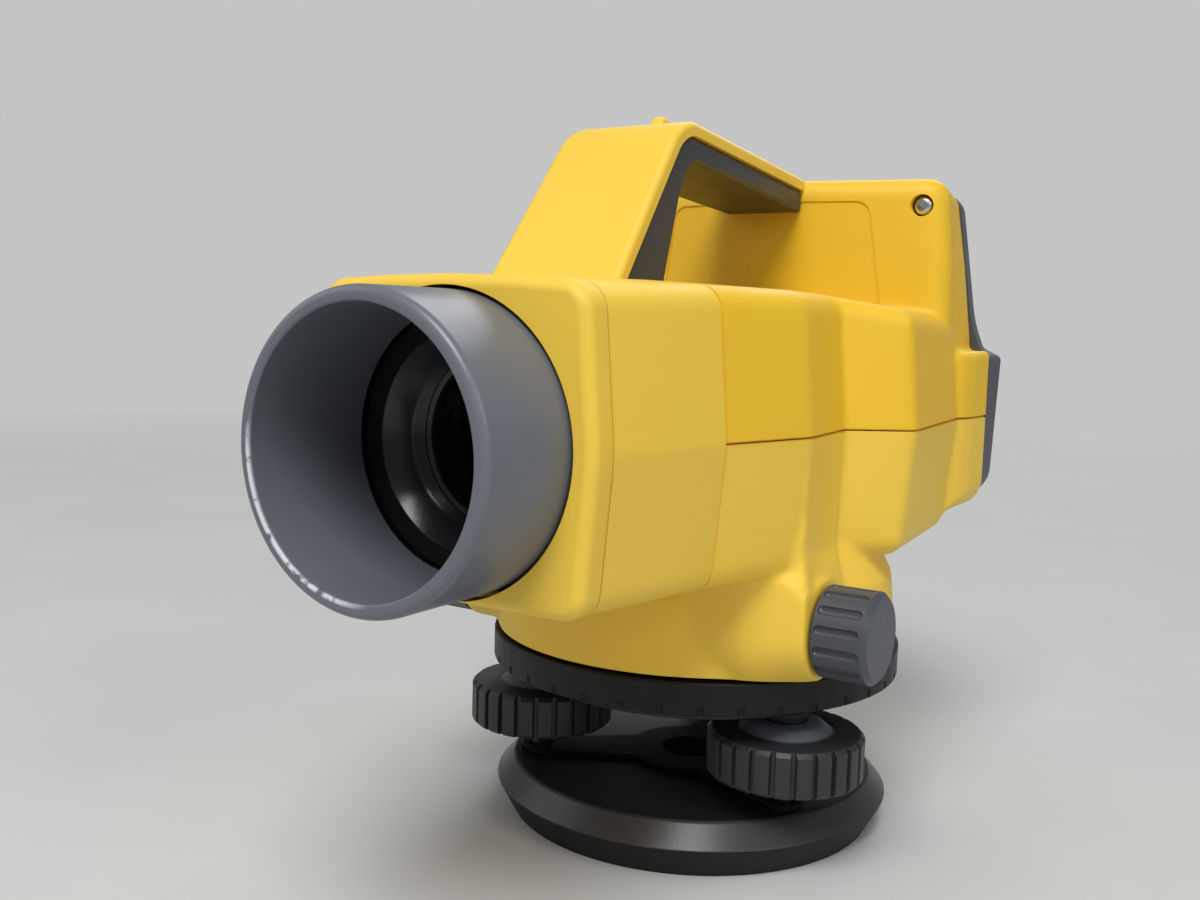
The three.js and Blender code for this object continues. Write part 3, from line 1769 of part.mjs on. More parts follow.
function makeLevellingHead() {
  const top = headUnderside + headThickness;
  const disc = turned(
    "z",
    [
      [bushRadius + gap, headUnderside],
      [headRadius, headUnderside],
      [headRadius, top],
      [hubRadius, top],
      [hubRadius, hubTopHeight],
      [bushRadius + gap, hubTopHeight],
      [bushRadius + gap, headUnderside],
    ],
    ringSides,
  );
  const bosses = footIndices.map((index) =>
    bar("z", footBossRadius, headUnderside, footBossTop, footPlace(index), smallSides),
  );
  const bores = footIndices.map((index) =>
    bar(
      "z",
      footSpindleRadius + gap,
      headUnderside - overrun,
      footSpindleTop + footBallRadius / 2,
      footPlace(index),
      pinSides,
    ),
  );
  return cut(join(disc, ...bosses), ...bores);
}

function makeAxisBush() {
  return pipe("z", bushRadius, spindleRadius + gap, headUnderside, hubTopHeight, noShift);
}

function makeAxisSpindle() {
  const seat = hubTopHeight + gap;
  const profile = [
    [0, spindleFootHeight],
    [spindleRadius, spindleFootHeight],
    [spindleRadius, seat],
    [spindleFlangeRadius, seat],
    [spindleFlangeRadius, seat + spindleFlangeThickness],
    [0, seat + spindleFlangeThickness],
  ];
  return turned("z", profile, roundSides);
}

function makeCircleRing() {
  return pipe("z", circleRadius, circleBore, circleFoot, circleTop, noShift, ringSides);
}

addPart("levelling_head", makeLevellingHead(), black);
addPart("axis_bush", makeAxisBush(), brass);
addPart("axis_spindle", makeAxisSpindle(), steel);
addPart("circle_ring", makeCircleRing(), black);

// Foot screws

function footKnobOutline() {
  const points = [];
  const step = (2 * Math.PI) / footKnobRibs;
  const floor = footKnobRadius - footRibDepth;
  for (let i = 0; i < footKnobRibs; i += 1) {
    for (const [share, reach] of [
      [-footRibFloorShare / 2, floor],
      [footRibFloorShare / 2, floor],
      [footRibFloorShare / 2 + footRibRampShare, footKnobRadius],
      [1 - footRibFloorShare / 2 - footRibRampShare, footKnobRadius],
    ]) {
      const angle = (i + share) * step;
      points.push(new THREE.Vector2(reach * Math.cos(angle), reach * Math.sin(angle)));
    }
  }
  return points;
}

function makeFootKnob(index) {
  const band = plate("z", footKnobOutline(), footKnobBottom, footKnobTop);
  const collar = turned(
    "z",
    [
      [0, footKnobBottom],
      [collarFootRadius, footKnobBottom],
      [collarFootRadius, footKnobTop],
      [collarTopRadius, collarTop],
      [0, collarTop],
    ],
    smallSides,
  );
  const boreEnds = [footKnobBottom - overrun, collarTop + overrun];
  const bore = bar("z", footSpindleRadius + gap, ...boreEnds, noShift, pinSides);
  return cut(join(band, collar), bore).translate(footPlace(index));
}

function makeFootSpindle(index) {
  const ballSteps = 4;
  const neckAngle = Math.asin(spindleNeckRadius / footBallRadius);
  const profile = [];
  for (let i = 0; i <= ballSteps; i += 1) {
    const angle = -Math.PI / 2 + ((Math.PI - neckAngle) * i) / ballSteps;
    const radius = i === 0 ? 0 : footBallRadius * Math.cos(angle);
    profile.push([radius, footBallHeight + footBallRadius * Math.sin(angle)]);
  }
  profile.push(
    [spindleNeckRadius, footNeckTop],
    [footSpindleRadius, footNeckTop + spindleNeckRadius / 2],
    [footSpindleRadius, footSpindleTop],
    [0, footSpindleTop],
  );
  return turned("z", profile, pinSides).translate(footPlace(index));
}

footIndices.forEach((index) => {
  addPart(`foot_knob_${index + 1}`, makeFootKnob(index), slate);
  addPart(`foot_spindle_${index + 1}`, makeFootSpindle(index), steel);
});

// Spring plate and base plate

function makeSpringPlate() {
  const foot = basePlateHeight - basePlateLipDepth + gap;
  const top = foot + springPlateThickness;
  const hub = bar("z", springPlateHub, foot, top, noShift, smallSides);
  const arms = footIndices.map((index) => {
    const [x, y] = footPlace(index);
    const across = new THREE.Vector2(-y, x).setLength(springPlateRadius);
    const outline = [
      new THREE.Vector2(across.x, across.y),
      new THREE.Vector2(-across.x, -across.y),
      new THREE.Vector2(x - across.x / 2, y - across.y / 2),
      new THREE.Vector2(x + across.x / 2, y + across.y / 2),
    ];
    const end = bar("z", springPlateRadius / 2 + gap, foot, top, [x, y, 0], pinSides);
    return join(plate("z", outline, foot, top), end);
  });
  const holes = footIndices.map((index) =>
    bar("z", springPlateHole, foot - overrun, top + overrun, footPlace(index), pinSides),
  );
  const centre = bar("z", basePlateHole, foot - overrun, top + overrun, noShift);
  return cut(join(hub, ...arms), centre, ...holes);
}

function makeBasePlate() {
  const profile = [
    [basePlateHole, 0],
    [basePlateFootRadius, 0],
    [basePlateRimRadius, basePlateRimHeight],
    [basePlateTopRadius + basePlateLip, basePlateHeight],
    [basePlateTopRadius, basePlateHeight],
    [basePlateTopRadius, basePlateHeight - basePlateLipDepth],
    [basePlateHole, basePlateHeight - basePlateLipDepth],
    [basePlateHole, 0],
  ];
  const pockets = footIndices.map((index) =>
    bar(
      "z",
      footPocketRadius,
      footBallHeight - footBallRadius - gap,
      basePlateHeight + overrun,
      footPlace(index),
      pinSides,
    ),
  );
  return cut(turned("z", profile, ringSides), ...pockets);
}

addPart("spring_plate", makeSpringPlate(), steel);
addPart("base_plate", makeBasePlate(), black);

export default parts;
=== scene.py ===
# %% [markdown]
# A digital level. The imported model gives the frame: what each piece is, where it sits and what
# it turns with. This lesson builds the visible skin of each piece around that frame. Lengths are
# written in millimetres, as on a drawing, and scaled to metres once, when a piece is finished.

import math

import bmesh
import bpy
from mathutils import Matrix, Vector


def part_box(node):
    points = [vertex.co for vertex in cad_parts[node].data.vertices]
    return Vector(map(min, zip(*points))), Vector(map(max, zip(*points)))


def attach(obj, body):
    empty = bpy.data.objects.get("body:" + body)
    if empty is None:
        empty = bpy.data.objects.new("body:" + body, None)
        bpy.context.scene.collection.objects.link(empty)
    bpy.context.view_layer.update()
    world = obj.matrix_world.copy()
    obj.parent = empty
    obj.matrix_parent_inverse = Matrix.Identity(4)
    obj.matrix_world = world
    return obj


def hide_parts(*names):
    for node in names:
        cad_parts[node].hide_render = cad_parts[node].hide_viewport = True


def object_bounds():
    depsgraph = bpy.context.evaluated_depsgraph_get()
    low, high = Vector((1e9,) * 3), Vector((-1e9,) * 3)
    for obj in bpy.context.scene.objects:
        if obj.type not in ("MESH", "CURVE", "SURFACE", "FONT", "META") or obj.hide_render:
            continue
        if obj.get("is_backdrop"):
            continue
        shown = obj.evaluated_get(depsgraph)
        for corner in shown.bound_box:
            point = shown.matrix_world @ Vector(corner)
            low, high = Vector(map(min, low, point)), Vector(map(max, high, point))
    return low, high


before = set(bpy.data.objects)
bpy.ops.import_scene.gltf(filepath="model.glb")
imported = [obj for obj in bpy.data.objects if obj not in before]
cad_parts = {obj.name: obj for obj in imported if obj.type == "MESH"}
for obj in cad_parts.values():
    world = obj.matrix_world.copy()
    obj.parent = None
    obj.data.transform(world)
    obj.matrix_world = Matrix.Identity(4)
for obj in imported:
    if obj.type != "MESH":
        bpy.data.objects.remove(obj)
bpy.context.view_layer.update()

# %% [markdown]
# The camera stands low in front of the instrument, on the operator's left. Its place and its
# turn come from lining up the rims, seams and knobs of the model with the photograph. The focal
# length is that of a short zoom, in the usual 36 mm wide frame.

# %% Camera
MM = 0.001
camera_place = Vector((152.02, -289.42, 132.0)) * MM
camera_yaw, camera_pitch, camera_roll = 0.567581, -0.106465, 0.0275762
forward = Vector((
    -math.sin(camera_yaw) * math.cos(camera_pitch),
    math.cos(camera_yaw) * math.cos(camera_pitch),
    math.sin(camera_pitch),
))
level_right = Vector((math.cos(camera_yaw), math.sin(camera_yaw), 0))
right = Matrix.Rotation(-camera_roll, 3, forward) @ level_right
up = right.cross(forward)
camera_data = bpy.data.cameras.new("camera")
camera_data.lens = 36.024
camera_data.sensor_width = 36
camera_data.clip_start = 0.01
camera = bpy.data.objects.new("camera", camera_data)
camera_turn = Matrix((right, up, -forward)).transposed().to_4x4()
camera.matrix_world = Matrix.Translation(camera_place) @ camera_turn
bpy.context.scene.collection.objects.link(camera)
bpy.context.scene.camera = camera
bpy.context.scene.view_settings.view_transform = "Standard"
print("camera", [round(v, 3) for v in camera.location])

# %% [markdown]
# Finishes come next. Each is a small tree of nodes on the Principled shader. Noise in object
# coordinates gives the moulded grain, a slow noise makes the colour and the gloss a little
# uneven, and both stay fixed on the piece when it moves.

# %% Helpers for finishes
def linear(red, green, blue):
    """A colour as picked from a screen, 0 to 255, in the shader's own scale."""
    return tuple(
        ((v / 255 + 0.055) / 1.055) ** 2.4 if v > 10 else v / 255 / 12.92
        for v in (red, green, blue)
    )


def shader_of(made):
    return made.node_tree.nodes["Principled BSDF"]


def finish(name, metallic=0.0, **sockets):
    """A new material, with plain values set on its shader's own sockets."""
    made = bpy.data.materials.new(name)
    made.use_nodes = True
    shader_of(made).inputs["Metallic"].default_value = metallic
    for socket, value in sockets.items():
        shader_of(made).inputs[socket.replace("_", " ")].default_value = value
    return made


def noise(made, scale, detail=2.0, stretch=(1, 1, 1)):
    """Noise on object coordinates; the scale is in features per metre."""
    nodes, links = made.node_tree.nodes, made.node_tree.links
    place = nodes.new("ShaderNodeTexCoord")
    mapping = nodes.new("ShaderNodeMapping")
    mapping.inputs["Scale"].default_value = stretch
    links.new(place.outputs["Object"], mapping.inputs["Vector"])
    texture = nodes.new("ShaderNodeTexNoise")
    texture.inputs["Scale"].default_value = scale
    texture.inputs["Detail"].default_value = detail
    links.new(mapping.outputs["Vector"], texture.inputs["Vector"])
    return texture.outputs["Fac"]


def ramp(made, source, stops):
    """Turns a value into a colour or a grey; stops are (place, value or colour)."""
    node = made.node_tree.nodes.new("ShaderNodeValToRGB")
    made.node_tree.links.new(source, node.inputs["Fac"])
    elements = node.color_ramp.elements
    while len(elements) < len(stops):
        elements.new(0.5)
    for element, (place, value) in zip(elements, stops):
        element.position = place
        element.color = (*value, 1) if isinstance(value, tuple) else (value, value, value, 1)
    return node.outputs["Color"]


COLOUR_A, COLOUR_B, COLOUR_RESULT = 6, 7, 2  # the Mix node's sockets for colours


def mixed(made, share, first, second):
    """Two colours mixed by a share; either colour may be a fixed one."""
    node = made.node_tree.nodes.new("ShaderNodeMix")
    node.data_type = "RGBA"
    made.node_tree.links.new(share, node.inputs["Factor"])
    for place, value in ((COLOUR_A, first), (COLOUR_B, second)):
        if isinstance(value, tuple):
            node.inputs[place].default_value = (*value, 1)
        else:
            made.node_tree.links.new(value, node.inputs[place])
    return node.outputs[COLOUR_RESULT]


def feed(made, source, socket):
    made.node_tree.links.new(source, shader_of(made).inputs[socket])


def spread(made, source, low, high):
    """0 where a value is at or below the low one, and 1 where it is at or above the high one."""
    span = made.node_tree.nodes.new("ShaderNodeMapRange")
    span.inputs["From Min"].default_value = low
    span.inputs["From Max"].default_value = high
    made.node_tree.links.new(source, span.inputs["Value"])
    return span.outputs["Result"]


def band(made, axis, low, high):
    """0 below one place along an axis, in metres, and 1 above another."""
    nodes, links = made.node_tree.nodes, made.node_tree.links
    place = nodes.new("ShaderNodeTexCoord")
    split = nodes.new("ShaderNodeSeparateXYZ")
    links.new(place.outputs["Object"], split.inputs["Vector"])
    return spread(made, split.outputs[axis], low, high)


def near(made, point, reach, edge):
    """1 near a point, in metres, and 0 beyond its reach, over an edge given as a share."""
    nodes, links = made.node_tree.nodes, made.node_tree.links
    place = nodes.new("ShaderNodeTexCoord")
    away = nodes.new("ShaderNodeVectorMath")
    away.operation = "DISTANCE"
    away.inputs[1].default_value = point
    links.new(place.outputs["Object"], away.inputs[0])
    return spread(made, away.outputs["Value"], reach, reach * (1 - edge))


def product(made, first, *others):
    for other in others:
        times = made.node_tree.nodes.new("ShaderNodeMath")
        times.operation = "MULTIPLY"
        made.node_tree.links.new(first, times.inputs[0])
        made.node_tree.links.new(other, times.inputs[1])
        first = times.outputs["Value"]
    return first


def bump(made, source, height, strength=0.5):
    """Raises the surface by a height in metres where the source is bright."""
    node = made.node_tree.nodes.new("ShaderNodeBump")
    node.inputs["Distance"].default_value = height
    node.inputs["Strength"].default_value = strength
    made.node_tree.links.new(source, node.inputs["Height"])
    feed(made, node.outputs["Normal"], "Normal")


def uneven_colour(made, colour, other, scale=14.0):
    """A colour that drifts towards another."""
    drift = noise(made, scale, 4)
    feed(made, ramp(made, drift, [(0.35, linear(*colour)), (0.7, linear(*other))]), "Base Color")


def uneven_gloss(made, low, high, scale=14.0, detail=5):
    """A roughness that drifts between two values, six times finer than the colour."""
    feed(made, ramp(made, noise(made, 6 * scale, detail), [(0.3, low), (0.7, high)]), "Roughness")


def grained(name, colour, other, gloss, grain, height=0.00003, strength=0.5, metallic=0.0,
            level=0.5, drift=14.0, detail=2, stretch=(1, 1, 1)):
    """A finish of uneven colour and gloss over a grain of so many features per metre."""
    made = finish(name, metallic, Specular_IOR_Level=level)
    uneven_colour(made, colour, other, drift)
    uneven_gloss(made, *gloss, drift)
    bump(made, noise(made, grain, detail, stretch), height, strength)
    return made


print("finish helpers are ready")

# %% [markdown]
# The covers are moulded in a warm yellow plastic with a fine spark-eroded grain, which breaks up
# reflections into a soft sheen. The grips, knobs, hood and rear panel are moulded in a blue-grey
# plastic with the same grain. The front ring, the bezel, the handle's cap and the lower cover
# come from another batch of the plastic, a little paler than the rest.

# %% Moulded finishes
yellow = grained("moulded yellow", (234, 188, 36), (238, 194, 44), (0.46, 0.54), 2600, level=0.42)
pale_yellow = grained(
    "pale moulded yellow", (238, 198, 66), (243, 204, 74), (0.46, 0.54), 2600, level=0.42)
slate = grained("moulded slate", (66, 70, 80), (72, 75, 85), (0.38, 0.46), 2400)
grip_slate = grained("soft grip slate", (50, 53, 60), (56, 59, 66), (0.36, 0.44), 1800, 0.00004)
key_black = grained("key black", (48, 50, 54), (54, 56, 60), (0.5, 0.6), 2800, level=0.45)
rubber = grained("eyecup rubber", (34, 34, 36), (44, 44, 46), (0.7, 0.85), 1500, 0.00005, 0.6,
                 level=0.35, drift=30, detail=3)
moulded = (yellow, pale_yellow, slate, grip_slate, key_black, rubber)
print("moulded finishes:", [m.name for m in moulded])

# %% [markdown]
# Two moulded finishes carry more. Along the lower left of the hood's inner lip runs a thin pale
# line: a painted highlight where the lip catches the light, and some rubbed wear. Distances from
# two points mark it, and noise breaks it up. On the foot knobs the collar above the ribs is paler
# than the rest.

# %% Finishes with a mark on them
hood_slate = grained("hood slate", (100, 104, 112), (106, 110, 117), (0.3, 0.38), 2400, 0.00002)
rim_middle, lip_mark_middle = (0, -0.1332, 0.1072), (-0.021, -0.1332, 0.088)
# Painted highlight with some rubbed wear: a thin pale line along the lower left of the inner lip.
lip_highlight_and_wear = product(
    hood_slate,
    near(hood_slate, lip_mark_middle, 0.026, 0.3),
    near(hood_slate, rim_middle, 0.0283, 0.012),
    near(hood_slate, rim_middle, 0.0272, -0.012),
    band(hood_slate, "Y", -0.1324, -0.1326),
    ramp(hood_slate, noise(hood_slate, 500, 4), [(0.36, 0.0), (0.5, 1.0)]),
)
hood_colour = shader_of(hood_slate).inputs["Base Color"].links[0].from_socket
# The pale painted highlight and wear line is mixed into the hood's own colour.
feed(hood_slate, mixed(hood_slate, lip_highlight_and_wear, hood_colour, linear(216, 218, 222)), "Base Color")

foot_slate = finish("foot knob slate", Specular_IOR_Level=0.5)
collar = band(foot_slate, "Z", 0.0330, 0.0333)
feed(foot_slate, mixed(foot_slate, collar, linear(40, 41, 43), linear(96, 100, 107)), "Base Color")
uneven_gloss(foot_slate, 0.4, 0.5, 5, 2)
bump(foot_slate, noise(foot_slate, 2000), 0.00004)
print("marked finishes:", hood_slate.name, "and", foot_slate.name)

# %% [markdown]
# The foot is cast and turned metal in satin black paint, speckled with dust and fine rubs. The
# telescope's inside is anodised matt black, so that no stray light reaches the sensor. Bare steel
# and alloy carry fine turning marks, made by noise that is squeezed along one direction.

# %% Metal finishes
paint = finish("satin black paint", Specular_IOR_Level=0.5)
specks = ramp(paint, noise(paint, 900, 6), [(0.66, 0.0), (0.74, 1.0)])
feed(paint, mixed(paint, specks, linear(17, 17, 18), linear(80, 80, 80)), "Base Color")
uneven_gloss(paint, 0.3, 0.42, 30)
bump(paint, noise(paint, 1400, 3), 0.00003)

ring_black = grained("ring black", (13, 13, 13), (19, 19, 19), (0.44, 0.56), 1200, 0.00004,
                     level=0.3, drift=30, detail=3)
matt_black = grained("matt black", (11, 11, 12), (16, 16, 17), (0.7, 0.8), 1600, strength=0.4,
                     level=0.3, drift=40, detail=3)
anodised = grained("anodised black", (22, 22, 24), (30, 29, 30), (0.22, 0.3), 900, 0.00001, 0.4,
                   metallic=0.3, drift=30, stretch=(1, 12, 1))
steel = grained("turned steel", (186, 187, 190), (206, 206, 208), (0.2, 0.3), 700, 0.00001,
                metallic=1.0, drift=40, stretch=(0.3, 0.3, 6))
alloy = grained("cast alloy", (150, 152, 156), (168, 170, 173), (0.42, 0.56), 900, 0.00006,
                metallic=0.9, drift=30, detail=4)
brass = grained("turned brass", (190, 158, 82), (206, 176, 96), (0.25, 0.36), 700, 0.00001, 0.4,
                metallic=1.0, drift=40, stretch=(0.3, 0.3, 6))
metals = (paint, ring_black, matt_black, anodised, steel, alloy, brass)
print("metal finishes:", [m.name for m in metals])

# %% [markdown]
# The base plate is matt, except for its chamfer, which is turned smooth. The objective's cell has
# a matt front face and a satin inside. A band along one axis tells the two apart on each.

# %% Finishes in two glosses
base_black = finish("base black", 0.2, Specular_IOR_Level=0.5)
chamfer = ramp(base_black, band(base_black, "Z", 0.0078, 0.0134),
               [(0.0, 0.0), (0.03, 1.0), (0.9, 1.0), (0.95, 0.0)])
feed(base_black, mixed(base_black, chamfer, linear(10, 10, 11), linear(52, 52, 54)), "Base Color")
feed(base_black, ramp(base_black, chamfer, [(0.0, 0.62), (1.0, 0.34)]), "Roughness")
bump(base_black, noise(base_black, 1600, 3), 0.00004, 0.6)

cell_black = finish("cell black", 0.4, Specular_IOR_Level=0.5)
inside = band(cell_black, "Y", -0.1013, -0.1011)
feed(cell_black, mixed(cell_black, inside, linear(9, 9, 9), linear(46, 46, 48)), "Base Color")
feed(cell_black, ramp(cell_black, inside, [(0.0, 0.8), (1.0, 0.2)]), "Roughness")
bump(cell_black, noise(cell_black, 1800), 0.00002)
print("two-gloss finishes:", base_black.name, "and", cell_black.name)

# %% [markdown]
# Glass is almost black from outside, because the tube behind it is black. A thin coating gives
# the faint purple of its reflections, so the lens gets a tint on its specular. The display's
# window is clear and thin, and the screen behind it is a grey-green liquid-crystal glass.

# %% Glass, screen and board finishes
lens_glass = finish("coated lens", Transmission_Weight=1.0, Roughness=0.0, IOR=1.3)
shader_of(lens_glass).inputs["Base Color"].default_value = (*linear(150, 156, 160), 1)
shader_of(lens_glass).inputs["Specular Tint"].default_value = (*linear(176, 160, 190), 1)

clear_window = finish("clear window", Transmission_Weight=1.0, Roughness=0.02, IOR=1.45)
shader_of(clear_window).inputs["Base Color"].default_value = (*linear(214, 222, 220), 1)

liquid = finish("level liquid", Transmission_Weight=0.7, Roughness=0.02, IOR=1.4)
shades = [(0.3, linear(190, 220, 84)), (0.7, linear(204, 232, 98))]
feed(liquid, ramp(liquid, noise(liquid, 60), shades), "Base Color")

mirror = finish("polished mirror", 1.0, Roughness=0.03)
shades = [(0.3, linear(226, 228, 230)), (0.7, linear(236, 238, 240))]
feed(mirror, ramp(mirror, noise(mirror, 40), shades), "Base Color")

screen = grained("screen", (124, 136, 112), (130, 142, 118), (0.18, 0.24), 3000, 0.00001, 0.2,
                 drift=20, detail=1)
board = grained("circuit board", (28, 84, 52), (38, 104, 66), (0.3, 0.45), 700, 0.00005,
                drift=120, detail=1)
others = (lens_glass, clear_window, liquid, mirror, screen, board)
print("clear and display finishes:", [m.name for m in others])

# %% [markdown]
# Shapes are modelled in a bmesh, in millimetres. Four helpers cover most of the instrument: a
# profile spun into a turned piece, an outline pushed into a plate, a skin bridged through several
# rings, and a bevel that softens every edge sharper than a given angle.

# %% Helpers for shapes
QUARTER = math.pi / 2
ORIGIN = (0, 0, 0)


def turned(profile, steps=96, axis="Z", centre=ORIGIN):
    """Spins a closed profile of (radius, place along the axis) all the way round."""
    bm = bmesh.new()
    points = [bm.verts.new((radius, 0, along)) for radius, along in profile]
    closed = profile[0][0] > 0 or profile[-1][0] > 0
    ends = zip(points, points[1:] + (points[:1] if closed else []))
    edges = [bm.edges.new(pair) for pair in ends]
    bmesh.ops.spin(
        bm, geom=points + edges, cent=ORIGIN, axis=(0, 0, 1), angle=math.tau, steps=steps,
        use_merge=True, use_duplicate=False,
    )
    bmesh.ops.remove_doubles(bm, verts=bm.verts, dist=1e-4)
    bmesh.ops.dissolve_degenerate(bm, edges=bm.edges, dist=1e-5)
    if axis != "Z":
        angle, about = (-QUARTER, "X") if axis == "Y" else (QUARTER, "Y")
        turn = Matrix.Rotation(angle, 3, about)
        bmesh.ops.rotate(bm, verts=bm.verts, cent=ORIGIN, matrix=turn)
    bmesh.ops.translate(bm, verts=bm.verts, vec=centre)
    bmesh.ops.recalc_face_normals(bm, faces=bm.faces)
    return bm


def rod(radius, low, high, axis="Z", centre=ORIGIN, steps=64):
    return turned([(0, low), (radius, low), (radius, high), (0, high)], steps, axis, centre)


def plate(outline, low, high, axis="Z"):
    """Pushes an outline of (a, b) along an axis, from one place to another."""
    place = "XYZ".index(axis)
    push = [0, 0, 0]
    push[place] = high - low
    bm = bmesh.new()
    corners = []
    for pair in outline:
        corner = list(pair)
        corner.insert(place, low)
        corners.append(bm.verts.new(corner))
    face = bm.faces.new(corners)
    grown = bmesh.ops.extrude_face_region(bm, geom=[face], use_keep_orig=True)["geom"]
    moved = [g for g in grown if isinstance(g, bmesh.types.BMVert)]
    bmesh.ops.translate(bm, verts=moved, vec=push)
    bmesh.ops.recalc_face_normals(bm, faces=bm.faces)
    return bm


def box(low, high):
    bm = bmesh.new()
    bmesh.ops.create_cube(bm, size=1)
    bmesh.ops.scale(bm, verts=bm.verts, vec=[b - a for a, b in zip(low, high)])
    bmesh.ops.translate(bm, verts=bm.verts, vec=[(a + b) / 2 for a, b in zip(low, high)])
    return bm


def skin(rings):
    """A closed solid through rings of points, each with the same count, bridged one by one."""
    bm = bmesh.new()
    rows = [[bm.verts.new(p) for p in ring] for ring in rings]
    loops = [[bm.edges.new((row[i - 1], row[i])) for i in range(len(row))] for row in rows]
    for near, far in zip(loops, loops[1:]):
        bmesh.ops.bridge_loops(bm, edges=near + far)
    bm.faces.new(rows[0])
    bm.faces.new(rows[-1])
    bmesh.ops.recalc_face_normals(bm, faces=bm.faces)
    return bm


def bevel(bm, edges, offset, segments, clamp=True):
    bmesh.ops.bevel(
        bm, geom=edges, offset=offset, offset_type="OFFSET", segments=segments, profile=0.5,
        affect="EDGES", clamp_overlap=clamp, material=-1,
    )


def soften(bm, offset, segments=3, angle=30, where=None):
    """Bevels every edge that is sharper than an angle, or only those where a test holds."""
    bm.normal_update()
    sharp = [
        e for e in bm.edges
        if e.is_manifold and e.calc_face_angle() > math.radians(angle)
        and (where is None or where((e.verts[0].co + e.verts[1].co) / 2))
    ]
    bevel(bm, sharp, offset, segments)
    return bm


print("shape helpers are ready")

# %% [markdown]
# Holes, seams and joined forms need solids to be added and cut. Blender's Boolean modifier does
# that between two objects, so this helper makes two passing objects, reads back the result and
# throws them away. The voxel remesh works the same way. It melts joined forms into one even skin,
# and a few rounds of smoothing then give the soft fillets of a moulding where the forms meet.

# %% Helpers for joining, cutting and melting
def placed(name, bm):
    """A mesh object in the scene, from a bmesh that isn't needed afterwards."""
    mesh = bpy.data.meshes.new(name)
    bm.to_mesh(mesh)
    bm.free()
    made = bpy.data.objects.new(name, mesh)
    bpy.context.scene.collection.objects.link(made)
    return made


def read_back(made):
    bpy.context.view_layer.update()
    bm = bmesh.new()
    bm.from_object(made, bpy.context.evaluated_depsgraph_get())
    return bm


def discard(*objects):
    for made in objects:
        mesh = made.data
        bpy.data.objects.remove(made)
        bpy.data.meshes.remove(mesh)


def combined(first, second, operation):
    a, b = placed("first", first), placed("second", second)
    modifier = a.modifiers.new("combine", "BOOLEAN")
    modifier.operation, modifier.solver, modifier.object = operation, "MANIFOLD", b
    result = read_back(a)
    discard(a, b)
    return result


def join(first, *others):
    for other in others:
        first = combined(first, other, "UNION")
    return first


def cut(first, *tools):
    for tool in tools:
        first = combined(first, tool, "DIFFERENCE")
    return first


def common(first, second):
    return combined(first, second, "INTERSECT")


def smooth(bm, verts, rounds):
    """Rounds of smoothing, each half way to the middle of a point's neighbours."""
    for _ in range(rounds):
        bmesh.ops.smooth_vert(
            bm, verts=verts, factor=0.5, use_axis_x=True, use_axis_y=True, use_axis_z=True
        )
    return bm


def melted(bm, voxel, rounds):
    """One even skin over joined solids, with its edges and corners smoothed."""
    made = placed("melted", bm)
    modifier = made.modifiers.new("melt", "REMESH")
    modifier.mode, modifier.voxel_size = "VOXEL", voxel
    result = read_back(made)
    discard(made)
    return smooth(result, result.verts, rounds)


print("joining helpers are ready")

# %% [markdown]
# A finished piece is scaled to metres, shaded smooth except across its sharp edges, given its
# finish, and tied to the body it moves with. The node of the imported model that it stands for is
# hidden.

# %% Helper for finished pieces
def piece(name, bm, material, body, slot, *nodes, sharp=40, weighted=True):
    """Finishes a shape; edges sharper than the angle given stay sharp to the eye."""
    bmesh.ops.scale(bm, verts=bm.verts, vec=(MM, MM, MM))
    bm.normal_update()
    for face in bm.faces:
        face.smooth = True
    for edge in bm.edges:
        edge.smooth = edge.is_manifold and edge.calc_face_angle() < math.radians(sharp)
    print(f"{name}: {len(bm.faces)} faces")
    made = placed(name, bm)
    made.data.materials.append(material)
    if weighted:
        modifier = made.modifiers.new("even shading", "WEIGHTED_NORMAL")
        modifier.keep_sharp = True
    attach(made, body)
    if nodes:
        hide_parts(*nodes)
    return made


# %% [markdown]
# The body is a telescope's housing: a skin through seven sections along the line of sight, widest
# at the parting line, with a crowned roof. Its long edges get one bevel. The edges across the
# body, where the plan turns at the shoulder, waist, hip and panel, get a smaller one.

# %% The body's outer form
sight = 107.2  # height of the line of sight
wall = 2.2
gap = 0.3
draft = 0.085  # how much the sides lean in, per millimetre of height
crown = 1.3  # how far the roof's middle stands above its sides
body_corner = 5.0
seam_y, shoulder_y, waist_y, hip_y, panel_y, rear_y = -65.2, -36.7, -10.3, 1.6, 49.3, 73.2
hip_half, panel_half = 59.0, 54.5
seam_half, shoulder_half = 40.4, 47.6
stations = [
    # place, half width, roof above and belly below the sight line, lean of the lower side
    (-101.9, 35.9, 33.4, 31.4, draft),
    (seam_y, seam_half, 34.4, 32.2, draft),
    (shoulder_y, shoulder_half, 34.4, 32.2, 0.03),
    (waist_y, 45.0, 34.4, 32.2, 0.04),
    (hip_y, hip_half, 31.6, 32.2, draft),
    (panel_y, panel_half, 30.4, 32.2, draft),
    (rear_y, 51.0, 30.4, 28.4, draft),
]
edges_across = [(seam_y, 1.2), (shoulder_y, 1.6), (waist_y, 2.0), (hip_y, 2.0), (panel_y, 1.4)]


def section(y, half, rise, drop, lean=draft, inset=0.0):
    side, top, foot = half - inset, rise - inset, drop - inset
    roof = side - draft * top
    belly = side - lean * foot
    right_side = [(side, 0), (roof, top - crown), (0.5 * roof, top - crown / 4), (0, top)]
    left_side = [(-0.5 * roof, top - crown / 4), (-roof, top - crown), (-side, 0)]
    underside = [(-belly, -foot), (belly, -foot)]
    return [(x, y, sight + z) for x, z in right_side + left_side + underside]


